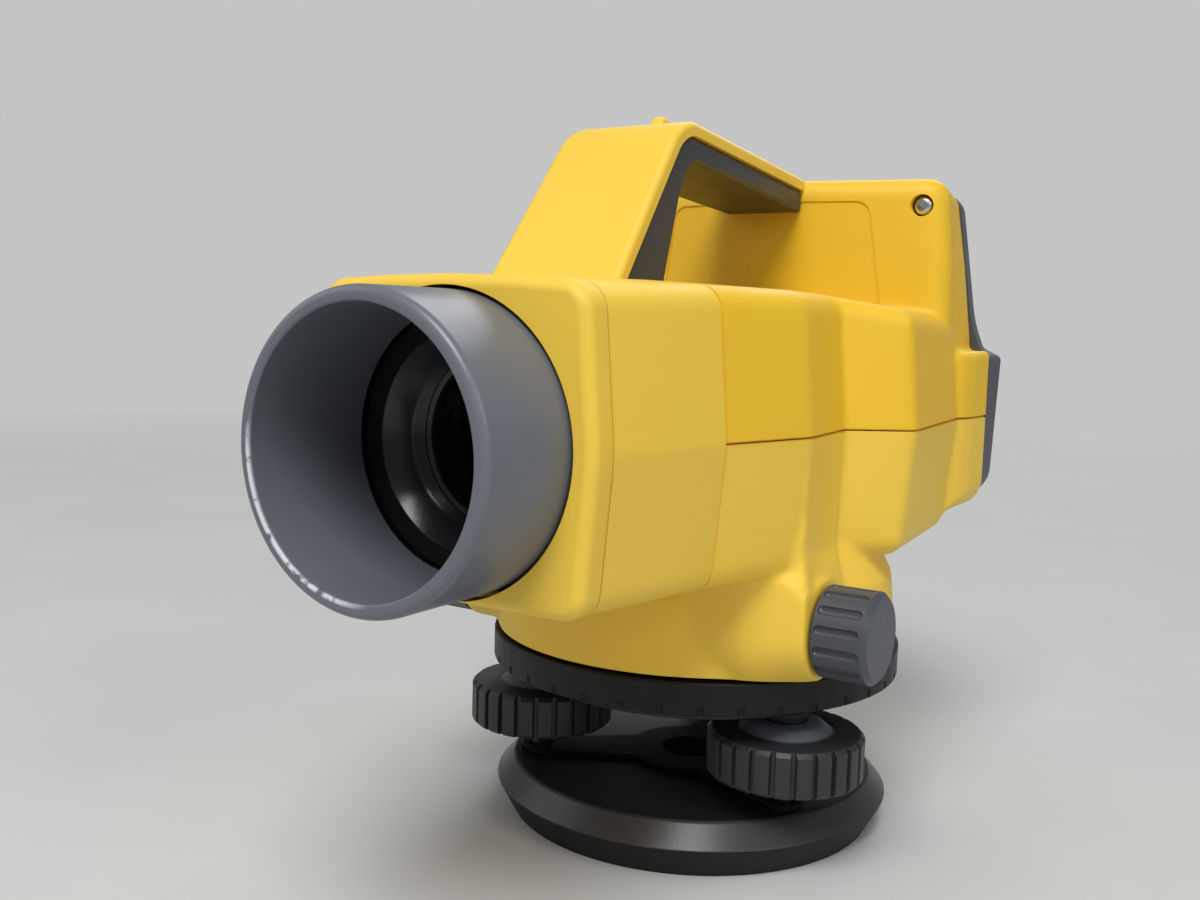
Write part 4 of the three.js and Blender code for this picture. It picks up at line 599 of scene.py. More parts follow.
def body_form(inset=0.0, beyond=0.0):
    """The body, smaller all round by the inset and longer at both ends."""
    rows = [list(row) for row in stations]
    for end, other in ((0, 1), (-1, -2)):
        share = -beyond / abs(rows[end][0] - rows[other][0])
        rows[end] = [a + (b - a) * share for a, b in zip(rows[end], rows[other])]
    bm = skin([section(*row, inset) for row in rows])
    long_edges = [
        e for e in bm.edges
        if abs(e.verts[0].co.y - e.verts[1].co.y) > 1
        and all(abs(v.co.z - sight) > 20 and abs(v.co.x) > 30 for v in e.verts)
    ]
    bevel(bm, long_edges, body_corner, 6, clamp=False)
    for y, offset in edges_across:
        ring = [e for e in bm.edges if all(abs(v.co.y - y) < 0.02 for v in e.verts)]
        bevel(bm, ring, offset, 4, clamp=False)
    bmesh.ops.recalc_face_normals(bm, faces=bm.faces)
    return bm


def flank(y, off):
    """Half the body's width at a place, so far above or below the parting line."""
    a, b = next(pair for pair in zip(stations, stations[1:]) if y <= pair[1][0])
    return a[1] + (b[1] - a[1]) * (y - a[0]) / (b[0] - a[0]) - draft * off


body = body_form()
print("body form:", len(body.faces), "faces, closed:", all(e.is_manifold for e in body.edges))
body.free()

# %% [markdown]
# The studio is a pale floor under a soft light. One large lamp hangs in front, high and a little
# to the right, so that the strut of the handle is the brightest face, as in the photograph, and
# the side panels stay a shade darker. Weaker lamps open up the shadows on both sides and behind.

# %% Floor and light
backdrop = linear(196, 197, 196)
floor_shape = bmesh.new()
bmesh.ops.create_circle(floor_shape, cap_ends=True, radius=6, segments=96)
floor = placed("floor", floor_shape)
floor_paper = finish("pale paper", Specular_IOR_Level=0.2, Roughness=0.8)
shades = [(0.3, backdrop), (0.7, linear(202, 203, 202))]
feed(floor_paper, ramp(floor_paper, noise(floor_paper, 8, 4), shades), "Base Color")
floor.data.materials.append(floor_paper)
floor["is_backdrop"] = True
print("floor, in metres:", [round(v, 2) for v in floor.dimensions])

# %% [markdown]
# A floor that ends would show its edge in low views. So its shader turns transparent with the
# distance from the instrument, and what the camera then sees is the world behind, which has the
# floor's own colour. For the light, the world is a faint, slightly blue sky.

# %% Floor that fades into the backdrop
nodes, links = floor_paper.node_tree.nodes, floor_paper.node_tree.links
place = nodes.new("ShaderNodeTexCoord")
reach = nodes.new("ShaderNodeMapping")
reach.inputs["Scale"].default_value = (0.5, 0.5, 0.5)
links.new(place.outputs["Object"], reach.inputs["Vector"])
ball = nodes.new("ShaderNodeTexGradient")
ball.gradient_type = "SPHERICAL"
links.new(reach.outputs["Vector"], ball.inputs["Vector"])
clear = nodes.new("ShaderNodeBsdfTransparent")
fade = nodes.new("ShaderNodeMixShader")
links.new(ramp(floor_paper, ball.outputs["Fac"], [(0.3, 0.0), (0.85, 1.0)]), fade.inputs["Fac"])
links.new(clear.outputs["BSDF"], fade.inputs[1])
links.new(nodes["Principled BSDF"].outputs["BSDF"], fade.inputs[2])
links.new(fade.outputs["Shader"], nodes["Material Output"].inputs["Surface"])

world = bpy.data.worlds.new("studio")
bpy.context.scene.world = world
world.use_nodes = True
nodes, links = world.node_tree.nodes, world.node_tree.links
sky = nodes["Background"]
sky.inputs["Color"].default_value = (0.97, 0.985, 1.0, 1)
sky.inputs["Strength"].default_value = 0.28
seen = nodes.new("ShaderNodeBackground")
seen.inputs["Color"].default_value = (*backdrop, 1)
rays = nodes.new("ShaderNodeLightPath")
choice = nodes.new("ShaderNodeMixShader")
links.new(rays.outputs["Is Camera Ray"], choice.inputs["Fac"])
links.new(sky.outputs["Background"], choice.inputs[1])
links.new(seen.outputs["Background"], choice.inputs[2])
links.new(choice.outputs["Shader"], nodes["World Output"].inputs["Surface"])
print("floor and world are ready")

# %% [markdown]
# Four round area lamps stand for the windows and ceiling of the room. Their size makes the soft
# edges of the shadows, and their energy is kept low, so that a colour renders about as written.

# %% Lamps
def lamp(name, place, target, size, energy):
    data = bpy.data.lights.new(name, "AREA")
    data.shape, data.size, data.energy = "DISK", size, energy
    made = bpy.data.objects.new(name, data)
    made.location = place
    made.rotation_euler = (Vector(target) - Vector(place)).to_track_quat("-Z", "Y").to_euler()
    bpy.context.scene.collection.objects.link(made)


aim = (0, 0, 0.1)
lamp("key", (0.32, -0.85, 1.35), aim, 0.8, 18)
lamp("side", (1.3, -0.4, 0.8), aim, 0.9, 4)
lamp("fill", (-1.2, -0.5, 0.8), aim, 1.0, 2.4)
lamp("back", (-0.3, 1.2, 1.0), aim, 1.0, 6)

# %% [markdown]
# The display tower stands behind the handle. Its front falls back from a flat middle to its
# corners, so it is bridged through level outlines. One bevel then rounds its corners and
# another its top edge, which is how such a moulding is drafted.

# %% The display tower
tower_front = 33.3
flat_half, fall_back = 13, 7.5
tower_top = 66.6
tower_levels = [  # height over the sight line, half width in front and behind
    (20.0, 53.1, 50.4), (44.0, 52.6, 47.4), (tower_top, 51.1, 43.7),
]


def tower_form(inset=0.0, rear=rear_y):
    rings = []
    for rise, front_half, rear_half in tower_levels:
        z = sight + rise - (inset if rise == tower_top else 0)
        front, side, back = tower_front + inset, front_half - inset, rear_half - inset
        half = [(flat_half, front), (side, front + fall_back), (back, rear)]
        rings.append([(x, y, z) for x, y in half] + [(-x, y, z) for x, y in reversed(half)])
    bm = skin(rings)
    under_top = sight + 66 - inset
    soften(bm, max(6 - inset, 1), 6, 30, lambda p: abs(p.x) > 49 and p.y < 45)
    soften(bm, 4, 3, 5, lambda p: abs(abs(p.x) - flat_half) < 1 and p.z < under_top)
    soften(bm, max(5 - inset, 1), 6, 50, lambda p: p.z > under_top and p.y < rear - 0.1)
    return bm


tower = tower_form()
print("tower:", len(tower.faces), "faces, closed:", all(e.is_manifold for e in tower.edges))
tower.free()

# %% [markdown]
# Behind the side panels stand two upright ribs, which hide the joint with the rear panel. Below
# the body, a round skirt covers the vertical axis. The fine-motion shaft comes out of it through
# a boss on each side. The left boss spreads like a trumpet and runs up into the body.

# %% Ribs
rib_inner, rib_half, rib_drop, rib_rise = 44, 56.6, 27.6, 19.2
rib_plan = [
    (rib_inner, 51.2), (52.6, 51.2), (55.0, 55.0), (56.2, 61.5), (rib_half, rear_y),
]


def rib_form(side, inset=0.0, rear=rear_y):
    """One rib; a box with a rounded lower corner then rounds the rib's foot."""
    plan = rib_plan + [(rib_half, rear), (rib_inner, rear)]
    drawn = [(side * (x - inset * (x > rib_inner)), y + inset * (y < 73)) for x, y in plan]
    foot = sight - rib_drop + inset
    bm = plate(drawn, foot, sight + rib_rise - inset)
    soften(bm, 2.5, 5, 15, lambda p: p.y < 63 and abs(p.x) > 50 and abs(p.z - sight) < 25)
    soften(bm, 4.0 - inset, 5, 60, lambda p: p.y < rear - 0.1 and abs(p.x) > rib_inner + 0.1)
    inner, outer = sorted((side * 20, side * (rib_half - inset)))
    rounder = box((inner, 40, foot), (outer, rear + 9, sight + 30))
    soften(rounder, 8.6 - inset, 8, 60,
           lambda p: p.z < sight - 20 and abs(p.x) > 50 and 41 < p.y < rear + 8)
    return common(bm, rounder)


print("rib faces:", len(rib_form(1).faces))

# %% [markdown]
# The skirt is a turned cone with a rounded top. The left boss is a turned trumpet, a block that
# follows its outline upwards, and a fin. The fin is bridged through level outlines, so it runs out
# smoothly between the shoulder and the waist at the parting line. The right boss is a plain rod.

# %% Skirt and bosses
worm = Vector((0, -30, 62.1))
boss_end = 49.9


def skirt_form(inset=0.0, foot=48.4):
    top = 79.4
    side = [(54.1, foot), (52.2, 68), (49.3, 74), (46, top)]
    return turned([(0, foot), *[(x - inset, z) for x, z in side], (0, top)], 128)


def boss_forms():
    trumpet = [(0, 0), (17.5, 0), (17, 36), (13.4, 45), (12, boss_end), (0, boss_end)]
    block = [  # place along X, half width along Y, top
        (0, 17.5, 77), (36, 17, 77), (44, 13.8, 75.6), (46.5, 12.9, 75), (boss_end, 12, 71),
    ]
    fin = [  # height, front corner's X and Y, rear corner's X and Y
        (64, boss_end, -41.9, boss_end, -18.1), (71, boss_end, -41.7, boss_end, -18.1),
        (80, 47.8, -39.2, 45.6, -13.5), (90, 47.2, -37.4, 44.6, -11.0),
        (107, 47.6, -36.7, 45.0, -10.3),
    ]
    block_rings = []
    for x, half, top in block:
        front, rear = worm.y - half, worm.y + half
        block_rings.append([(x, front, worm.z), (x, rear, worm.z), (x, rear, top), (x, front, top)])
    fin_rings = [
        [(30, front, z), (x, front, z), (rear_x, rear, z), (30, rear, z)]
        for z, x, front, rear_x, rear in fin
    ]
    right_boss = rod(11.4, -boss_end, 0, "X", worm)
    return turned(trumpet, 64, "X", worm), skin(block_rings), skin(fin_rings), right_boss


print("skirt faces:", len(skirt_form().faces))

# %% [markdown]
# All these forms are joined and melted into one yellow skin. On the real covers every inner
# corner has a fillet and every edge is softened by the mould. The smoothing rounds do the same,
# and more of them make the broader fillets round the left boss.

# %% One yellow form
def plain_form(inset, beyond):
    rear = rear_y + beyond
    shapes = [tower_form(inset, rear), rib_form(1, inset, rear), rib_form(-1, inset, rear)]
    return join(body_form(inset, beyond), *shapes)


form = melted(join(plain_form(0, 3), skirt_form(), *boss_forms()), 0.8, 3)
round_the_boss = [
    v for v in form.verts if v.co.z < 84 and 20 < v.co.x < 49.4 and -58 < v.co.y < -2
]
smooth(form, round_the_boss, 12)
print("yellow form:", len(form.faces), "faces, closed:", all(e.is_manifold for e in form.edges))

# %% [markdown]
# The form is cut into the real covers along their seams. First come the shallow grooves that
# soften each seam, then the screw recesses, the shallow panel in the tower's front, and the holes
# for shafts, key and socket. The panel's edge is cut in three steps, so it catches the light as a
# soft line. The inside is hollowed to a wall of 2.2 mm by a smaller copy of the plain form.

# %% Grooves and holes in the form
def groove(low, high, depth):
    """The part of a box that lies less than a depth under the form's surface."""
    return cut(box(low, high), plain_form(depth, 6))


def tower_panel(depth, wider):
    """The shallow recess in the tower's front, down to just above the deck."""
    low, high, top = 35.6 + wider, 30.4 + wider, 60 + wider
    outline = [(low, 26), (high, top), (-high, top), (-low, 26)]
    panel = plate([(x, sight + rise) for x, rise in outline], 24, 52, "Y")
    soften(panel, 3.5, 5, 60, lambda p: p.z > sight + 50 and 25 < p.y < 50)
    return cut(panel, tower_form(depth, 80), body_form(-0.8, 6))


far = 80  # beyond the covers on every side
focus_axis = Vector((0, 22, sight))
measure_key_axis = Vector((0, 44, sight + 13))
socket_axis = Vector((0, -50, sight - 13))
screw_places = [(side * 44.7, 0, sight + 59.0) for side in (1, -1)]
panel_steps = [(0.35, 0), (0.24, 0.18), (0.12, 0.36)]
form = cut(
    form,
    groove((-far, -65.35, sight - 0.45), (far, far, sight + 0.45), 0.45),
    groove((-far, -65.55, 40), (far, -64.85, 180), 0.3),
    *[rod(3.0, 30, 46.6, "Y", place, 48) for place in screw_places],
    *[tower_panel(depth, wider) for depth, wider in panel_steps],
    rod(3.3, -70, -24, "X", focus_axis, 48),
    rod(6.1, -70, -44, "X", measure_key_axis, 64),
    rod(6.3, -60, -36, "X", socket_axis, 64),
    rod(2.9, -60, 60, "X", worm, 32),
)
print("form with its grooves and holes:", len(form.faces), "faces")

# %% [markdown]
# Each cover is the hollowed form within its own box, 0.15 mm short of each seam. The lower cover
# is also opened for the axis under its skirt and for the battery.

# %% Covers
hollow = plain_form(wall, 6)


def cover(low, high, *more):
    """The shell of the form within a box, less the tools given."""
    return cut(common(form.copy(), box(low, high)), hollow.copy(), *more)


ring_skin = cover((-far, -101.9, 0), (far, -65.35, 200))
piece("front_ring_skin", ring_skin, pale_yellow, "alidade", "yellow", "front_ring")
upper_skin = cover((-far, -65.05, sight + 0.15), (far, rear_y, 200))
piece("upper_cover_skin", upper_skin, yellow, "alidade", "yellow", "upper_cover")
door_low, door_high = Vector((-far, 40.0, sight - 25.0)), Vector((-46.2, 72.4, sight - 5.0))
room = Vector((0, 0.55, 0.55))
lower_skin = cover(
    (-far, -65.05, 50.2), (far, rear_y, sight - 0.15),
    skirt_form(2.6, 40), rod(31, 60, 100, steps=96), box(door_low - room, door_high + room),
)
piece("lower_housing_skin", lower_skin, pale_yellow, "alidade", "yellow", "lower_housing")

# %% [markdown]
# The battery door is the same skin again, cut to the size of its opening less a hair's breadth
# all round, so its curve runs on from the cover's. Its edges are broken by a small bevel.

# %% Battery door
door = soften(cover(door_low, door_high), 0.3, 2, 60)
piece("battery_door_skin", door, pale_yellow, "battery_door", "yellow", "battery_door")

# %% [markdown]
# The front bezel is a short cap with a soft front edge. It is the nose section pushed forward,
# with its long edges rounded like the body's, and a round hole for the hood.

# %% Front bezel
sight_axis = (0, 0, sight)


def from_sight(p):
    """How far a point is from the line of sight."""
    return math.hypot(p.x, p.z - sight)


bezel_front, bezel_rear = -108.9, -102.2


def between(p):
    return bezel_front + 0.1 < p.y < bezel_rear - 0.1


bezel = skin([section(y, 35.9, 33.4, 31.4) for y in (bezel_front, bezel_rear)])
soften(bezel, 5, 6, 40, lambda p: abs(p.x) > 20 and abs(p.z - sight) > 20 and between(p))
soften(bezel, 4, 4, 5, lambda p: abs(p.z - sight) < 1 and between(p))
soften(bezel, 2.6, 6, 60, lambda p: p.y < bezel_front + 0.1)
soften(bezel, 0.35, 2, 60, lambda p: p.y > bezel_rear - 0.1)
bezel = cut(bezel, rod(31.2, -112, -100, "Y", sight_axis, 128))
soften(bezel, 0.5, 3, 50, lambda p: p.y < bezel_front + 0.1 and from_sight(p) < 31.3)
piece("front_bezel_cap", bezel, pale_yellow, "alidade", "yellow", "front_bezel")

# %% [markdown]
# The strut and the top bar of the handle are one moulded cap, bent over a softer grip. Seen from
# above the handle narrows towards the tower, so the bent band is pushed out straight and then
# narrowed by scaling each crosswise pair of points. Its outer edges are rounded almost fully.

# %% Handle helpers
foot_y, foot_rise = -72.3, 35.0  # where the strut's outer face meets the deck
bend_y, bend_rise = -43.6, 72.2  # where that face would meet the top bar's
end_y, end_rise = tower_front + 1, 66.8
slope = (end_rise - bend_rise) / (tower_front - bend_y)
lean = (bend_y - foot_y) / (bend_rise - foot_rise)
root_y, root_rise = foot_y - 30 * lean, foot_rise - 30  # well under the deck
handle_plan = [(-140.0, 21.1), (bend_y, 15.7), (end_y, 12.3), (90.0, 12.3)]


def handle_band(outline):
    """A bent band in the Y-Z plane, 2 mm wide."""
    return plate([(y, sight + rise) for y, rise in outline], -1, 1, "X")


def narrowed(bm, set_in=0.0):
    """The band at the handle's own width, less what it is set in on each side."""
    for vert in bm.verts:
        y = vert.co.y
        half = next(
            a + (b - a) * (y - y0) / (y1 - y0)
            for (y0, a), (y1, b) in zip(handle_plan, handle_plan[1:]) if y <= y1
        )
        vert.co.x *= half - set_in
    return bm


def seated(bm):
    """Cut to stand a little way into the deck and to end a hair's breadth off the tower."""
    return cut(bm, body_form(0.3, 6), tower_form(-gap, 80))


print("handle helpers are ready")

# %% [markdown]
# The cap is 3.4 mm thick. A small peg on the top bar is the rear half of a peep sight, with
# which the operator points the telescope roughly.

# %% Handle cap
thick = 3.4
thick_y = thick * math.hypot(1, lean)
cap = handle_band([
    (root_y, root_rise), (bend_y, bend_rise), (end_y, end_rise + slope),
    (end_y, end_rise - thick + slope), (-41.9, bend_rise - thick), (root_y + thick_y, root_rise),
])
soften(cap, 7.6, 10, 20, lambda p: p.z > sight + 72 and abs(p.x) < 0.1)
soften(cap, 5.8, 10, 20, lambda p: p.z > sight + 68 and abs(p.x) < 0.1 and p.y < 0)
narrowed(cap)


def on_skin(p):
    """True on the cap's outer side: beyond its middle line."""
    rise = p.z - sight
    above_bar = rise - (bend_rise + slope * (p.y - bend_y))
    before_strut = (rise - foot_rise - (p.y - foot_y) / lean) / math.hypot(1, 1 / lean)
    return above_bar > -thick / 2 or (p.y < -30 and before_strut > -thick / 2)


soften(cap, 1.5, 5, 60, lambda p: on_skin(p) and abs(p.x) > 8 and p.y < 33)
soften(cap, 0.5, 2, 60, lambda p: not on_skin(p) and abs(p.x) > 8 and p.y < 33)
peg = skin([
    [(-side, y - half, z), (side, y - half, z), (side, y + half, z), (-side, y + half, z)]
    for side, y, half, z in ((2.4, -27.4, 4.6, sight + 69.5), (1.5, -27.4, 1.5, sight + 75.2))
])
soften(peg, 0.9, 4, 30, lambda p: p.z > sight + 70)
piece("handle_cap", seated(join(cap, peg)), pale_yellow, "alidade", "yellow", "handle")

# %% [markdown]
# The grip lies under the cap, 0.3 mm off its inside and set in a little on both sides. It is thin
# under the top bar, and behind the strut it thickens towards the deck.

# %% Handle grip
deep = thick + gap
deep_y = deep * math.hypot(1, lean)
grip = handle_band([
    (root_y + deep_y, root_rise), (-41.75, bend_rise - deep), (end_y, end_rise + slope - deep),
    (end_y, 57.2), (-37.8, 63.0), (-43.0, 54.0), (-49.4, 35.0), (-50.2, root_rise),
])
soften(grip, 5.6, 10, 20, lambda p: p.z > sight + 68 and abs(p.x) < 0.1 and p.y < -30)
soften(grip, 5.0, 8, 15, lambda p: sight + 60 < p.z < sight + 65 and abs(p.x) < 0.1 and p.y < 0)
narrowed(grip, 0.6)
soften(grip, 1.1, 4, 60, lambda p: abs(p.x) > 8 and p.y < 33)
piece("handle_grip_bar", seated(grip), grip_slate, "alidade", "slate", "handle_grip")

# %% [markdown]
# The tower's two screws are bright socket screws in dark recesses. A shallow dome, a bevelled rim
# and a six-sided socket are enough to catch the light as they do in the photograph.

# %% Tower screws
for name, place in zip(("tower_screw_left", "tower_screw_right"), screw_places):
    head = turned([(0, 40.2), (1.6, 40.3), (2.5, 40.9), (2.5, 45.5), (0, 45.5)], 48, "Y", place)
    soften(head, 0.25, 3, 30)
    socket = rod(1.15, 38, 42.2, "Y", place, 6)
    piece(name + "_head", cut(head, socket), steel, "alidade", "steel", name)

# %% [markdown]
# The lens hood is a plain moulded tube. Its mouth has a broad outer rounding and a small inner
# one, and it stands in the bezel's hole with a narrow dark gap all round.

# %% Lens hood
bore, outside, mouth, foot = 27.25, 30.4, -133.2, -102.7
hood = turned([
    (bore, mouth), (outside, mouth), (outside, foot), (bore, foot),
], 160, "Y", sight_axis)
soften(hood, 1.7, 6, 60, lambda p: p.y < mouth + 0.1 and from_sight(p) > 29)
soften(hood, 0.6, 3, 60, lambda p: p.y < mouth + 0.1 and from_sight(p) < 28)
piece("lens_hood_tube", hood, hood_slate, "alidade", "slate", "lens_hood")

# %% [markdown]
# Inside the hood, the objective's cell shows a flat matt face, a satin cone and a few fine
# threads, which keep stray light off the lens. The lens itself is a bulging front glass. The tube
# behind it is black, and its side has the slot for the focusing rack.

# %% Telescope tube, objective cell and lens
tube = turned([
    (27.3, -102.4), (28.6, -102.4), (28.6, -76.4), (24.5, -76.4), (24.5, 46),
    (22.3, 46), (22.3, -79.0), (27.3, -79.0),
], 128, "Y", sight_axis)
reach = 7 + 12.9  # half the rack and its travel to either side
slot_low = (-25.5, focus_axis.y - reach, sight + 5.05)
slot_high = (-12.25, focus_axis.y + reach, sight + 8.25)
tube = cut(tube, box(slot_low, slot_high))
piece("telescope_tube_body", tube, anodised, "alidade", "anodised", "telescope_tube")

threads = []
for ring in range(5):
    y = -95.9 + 0.72 * ring
    threads += [(18.9 - 0.05 * ring, y), (18.4 - 0.05 * ring, y + 0.36)]
cell = turned([
    (27.0, -79.9), (27.0, -101.4), (22.8, -101.4), (18.8, -96.8), (19.4, -96.5), *threads,
    (18.2, -92.2), (17.2, -91.8), (16.9, -91.3), (16.9, -90.0), (18.0, -89.8), (18.0, -79.9),
], 128, "Y", sight_axis)
soften(cell, 0.25, 2, 30, lambda p: p.y < -101.3)
piece("objective_cell_ring", cell, cell_black, "alidade", "anodised", "objective_cell",
      sharp=20, weighted=False)

bulge = [(17.7 * k / 12, -89.2 + 2.4 * ((k / 12) ** 2 - 1)) for k in range(13)]
lens = turned([*bulge, (17.7, -82), (0, -82)], 96, "Y", sight_axis)
piece("objective_lens_glass", lens, lens_glass, "alidade", "glass", "objective_lens")

# %% [markdown]
# Knobs get their grip from cutters: one groove is modelled, copied round the axis with a spin
# that duplicates, and subtracted from the turned body. So each knob keeps true edges to bevel.

# %% Helper for grips
def around(bm, count, axis, centre):
    """Copies a shape round an axis until it stands there a given number of times."""
    bmesh.ops.spin(
        bm, geom=bm.verts[:] + bm.edges[:] + bm.faces[:], cent=centre, axis=axis,
        angle=math.tau * (count - 1) / count, steps=count - 1, use_duplicate=True,
    )
    return bm


print("grip helper is ready")

# %% [markdown]
# The fine-motion knobs are barrels with fourteen round-ended grooves and a plain, chamfered end.
# Both are drawn on the operator's left, and the other is then turned about to face the far side.

# %% Fine-motion knobs
half_turn = Matrix.Rotation(math.pi, 3, "Z")
for name, turned_about in (("fine_knob_left", False), ("fine_knob_right", True)):
    barrel = turned([
        (2.9, 50.2), (9.8, 50.2), (10.8, 51.0), (10.8, 62.5), (9.5, 63.7), (0, 63.7), (0, 59.8),
        (2.9, 59.8),
    ], 112, "X", worm)
    groove_tool = turned([
        (0, 51.2), (0.9, 51.5), (1.25, 52.2), (1.25, 61.0), (0.9, 61.8), (0, 62.1),
    ], 16, "X")
    bmesh.ops.translate(groove_tool, verts=groove_tool.verts, vec=worm + Vector((0, 0, 11.0)))
    barrel = cut(barrel, around(groove_tool, 14, (1, 0, 0), worm))
    soften(barrel, 0.3, 3, 35,
           lambda p: p.x < 63 and math.hypot(p.y - worm.y, p.z - worm.z) > 9.5)
    if turned_about:
        bmesh.ops.rotate(barrel, verts=barrel.verts, cent=worm, matrix=half_turn)
    piece(name + "_barrel", barrel, slate, "fine_drive", "slate", name)

# %% [markdown]
# The focusing knob is the largest one, on the operator's right. Its sixteen broad flutes are cut
# by thin round tools, so its grip is scalloped.

# %% Focusing knob
knob = turned([
    (3.3, -59.6), (16.2, -59.6), (17, -60.4), (17, -77.2), (15, -79.2), (12, -79.2), (11.2, -78.6),
    (0, -78.6), (0, -74.3), (3.3, -74.3),
], 128, "X", focus_axis)
flute = rod(3.0, -80, -61.6, "X", focus_axis + Vector((0, 0, 18.9)), 32)
soften(flute, 1.4, 4, 60, lambda p: p.x > -62)
knob = cut(knob, around(flute, 16, (1, 0, 0), focus_axis))
soften(knob, 0.35, 3, 35,
       lambda p: p.x < -60 and math.hypot(p.y - focus_axis.y, p.z - sight) > 13)
piece("focus_knob_grip", knob, slate, "focus_drive", "slate", "focus_knob")

# %% [markdown]
# The measuring key is a round push button with a dished face. The data socket is a short metal
# ring with a keyed insert and five pins.

# %% Measuring key and data socket
face_x = -flank(measure_key_axis.y, 13.0)
button = turned([
    (0, face_x - 2.0), (3.2, face_x - 2.1), (4.9, face_x - 2.4), (5.8, face_x - 1.6),
    (5.8, face_x + 5.6), (0, face_x + 5.6),
], 64, "X", measure_key_axis)
soften(button, 0.3, 3, 30, lambda p: p.x < face_x)
piece("measure_key_button", button, slate, "measure_key", "slate", "measure_key")

outer_x = -flank(socket_axis.y, 13.0) - 1.4
socket = turned([
    (4.7, outer_x), (6.0, outer_x), (6.0, outer_x + 8), (0, outer_x + 8), (0, outer_x + 4),
    (4.7, outer_x + 4),
], 64, "X", socket_axis)
soften(socket, 0.35, 3, 60, lambda p: p.x < outer_x + 0.1)
pin = rod(0.45, outer_x + 1.2, outer_x + 4.4, "X", socket_axis + Vector((0, 0, 2.6)), 12)
key_bar = box(socket_axis + Vector((outer_x + 0.8, -0.7, -4.9)),
              socket_axis + Vector((outer_x + 4.4, 0.7, -3.9)))
socket = join(socket, around(pin, 5, (1, 0, 0), socket_axis), key_bar)
piece("data_connector_socket", socket, anodised, "alidade", "anodised", "data_connector")

# %% [markdown]
# The rear panel closes the covers. It is bridged from a front outline to a slightly narrower rear
# one, its corners are bevelled, and it is hollowed. It has openings for the window, for eight
# keys and for the eyepiece. Each group of keys sits in a shallow recess.

# %% Rear panel
def panel_ring(y, inset=0.0):
    drawn_in = inset + 2.4 * (y - rear_y) / 13.8
    half = [
        (55.4 - inset, -25.6 + inset), (57.0 - inset, 17.4 - inset),
        (53.6 - drawn_in, 20.0 - inset),
        (50.6 - drawn_in, 28.0 - inset), (44.8 - drawn_in, 66.6 - inset),
    ]
    ring = half + [(-x, rise) for x, rise in reversed(half)]
    return [(x, y, sight + rise) for x, rise in ring]


def opening(x_half, low, high, y0, y1, rounding, x_middle=0.0):
    """A box through the panel with rounded corners, placed by its heights over the sight line."""
    bm = box((x_middle - x_half, y0, sight + low), (x_middle + x_half, y1, sight + high))
    return soften(bm, rounding, 4, 60, lambda p: y0 + 0.1 < p.y < y1 - 0.1)


panel = skin([panel_ring(73.5), panel_ring(87.0)])
for low, high, *how in (  # heights over the sight line; then offset, segments and least angle
    (-40, -20, 8.6, 8, 40), (60, 80, 6.0, 8, 40), (15, 24, 1.2, 4, 15), (24, 32, 4.0, 4, 5),
):
    soften(panel, *how, lambda p: 74 < p.y < 86 and low < p.z - sight < high)
soften(panel, 3.2, 6, 60, lambda p: p.y > 86.9)
key_spots = [(x, rise) for rise in (-7.2, 7.2) for x in (-43.0, -28.6, 28.6, 43.0)]
panel = cut(
    panel, skin([panel_ring(72.5, 2.2), panel_ring(84.8, 3.2)]),
    rod(13.7, 80, 90, "Y", sight_axis, 96),
    opening(31.3, 31.5, 57.9, 84.9, 90, 1.6), opening(29.0, 33.8, 55.6, 80, 90, 1.2),
    *[opening(14.8, -13.4, 13.4, 86.5, 90, 3.0, middle) for middle in (35.8, -35.8)],
    *[opening(5.9, rise - 4.3, rise + 4.3, 80, 90, 1.7, x) for x, rise in key_spots],
)
piece("rear_panel_shell", panel, slate, "alidade", "slate", "rear_panel")

# %% [markdown]
# The window is a clear sheet in a ledge. Behind it lies the display: a dark frame and a
# grey-green glass, switched off. The keys have dished, rounded caps and a collar inside the
# panel that keeps them from falling out. Their faces carry only small raised bars and dots.

# %% Window, display and keys
sheet = opening(31.0, 31.8, 57.6, 85.2, 87.0, 1.3)
soften(sheet, 0.25, 2, 60, lambda p: p.y > 86.9)
piece("display_window_sheet", sheet, clear_window, "alidade", "window", "display_window")

frame_box = opening(29.4, 33.4, 56.0, 80.1, 84.4, 1.0)
frame_box = cut(frame_box, opening(26.4, 36.2, 53.4, 83.6, 86, 0.6))
piece("display_frame", soften(frame_box, 0.2, 2, 60), key_black, "alidade", "lcd", "lcd_module")
screen_sheet = opening(26.2, 36.4, 53.2, 83.0, 83.9, 0.5)
soften(screen_sheet, 0.15, 2, 60, lambda p: p.y > 83.8)
piece("display_glass", screen_sheet, screen, "alidade", "lcd")

for number, (x, rise) in enumerate(key_spots, 1):
    cap = opening(5.6, rise - 4.0, rise + 4.0, 83.4, 88.6, 1.5, x)
    soften(cap, 0.7, 4, 60, lambda p: p.y > 88.5)
    collar = opening(6.4, rise - 4.8, rise + 4.8, 83.5, 84.5, 1.8, x)
    marks = [
        opening(1.6, rise - 0.25, rise + 0.25, 88.4, 88.78, 0.2, x),
        *([opening(0.25, rise - 1.6, rise + 1.6, 88.4, 88.78, 0.2, x)] if number % 2 else []),
    ]
    key = f"key_{number}"
    piece(key + "_cap", join(cap, collar, *marks), key_black, key, "black_key", key)

# %% [markdown]
# The eyepiece is built from the panel outwards: a flanged tube, the knurled dioptre ring that
# turns on it, the sliding cell with the eye lens, and a soft rubber cup.

# %% Eyepiece
mount = turned([
    (11.6, 79.4), (13.4, 79.4), (13.4, 87.3), (16.8, 87.3), (16.8, 88.9), (16.4, 89.3),
    (13.4, 89.3), (13.4, 103), (11.6, 103),
], 96, "Y", sight_axis)
piece("eyepiece_mount_tube", mount, anodised, "alidade", "anodised", "eyepiece_mount")

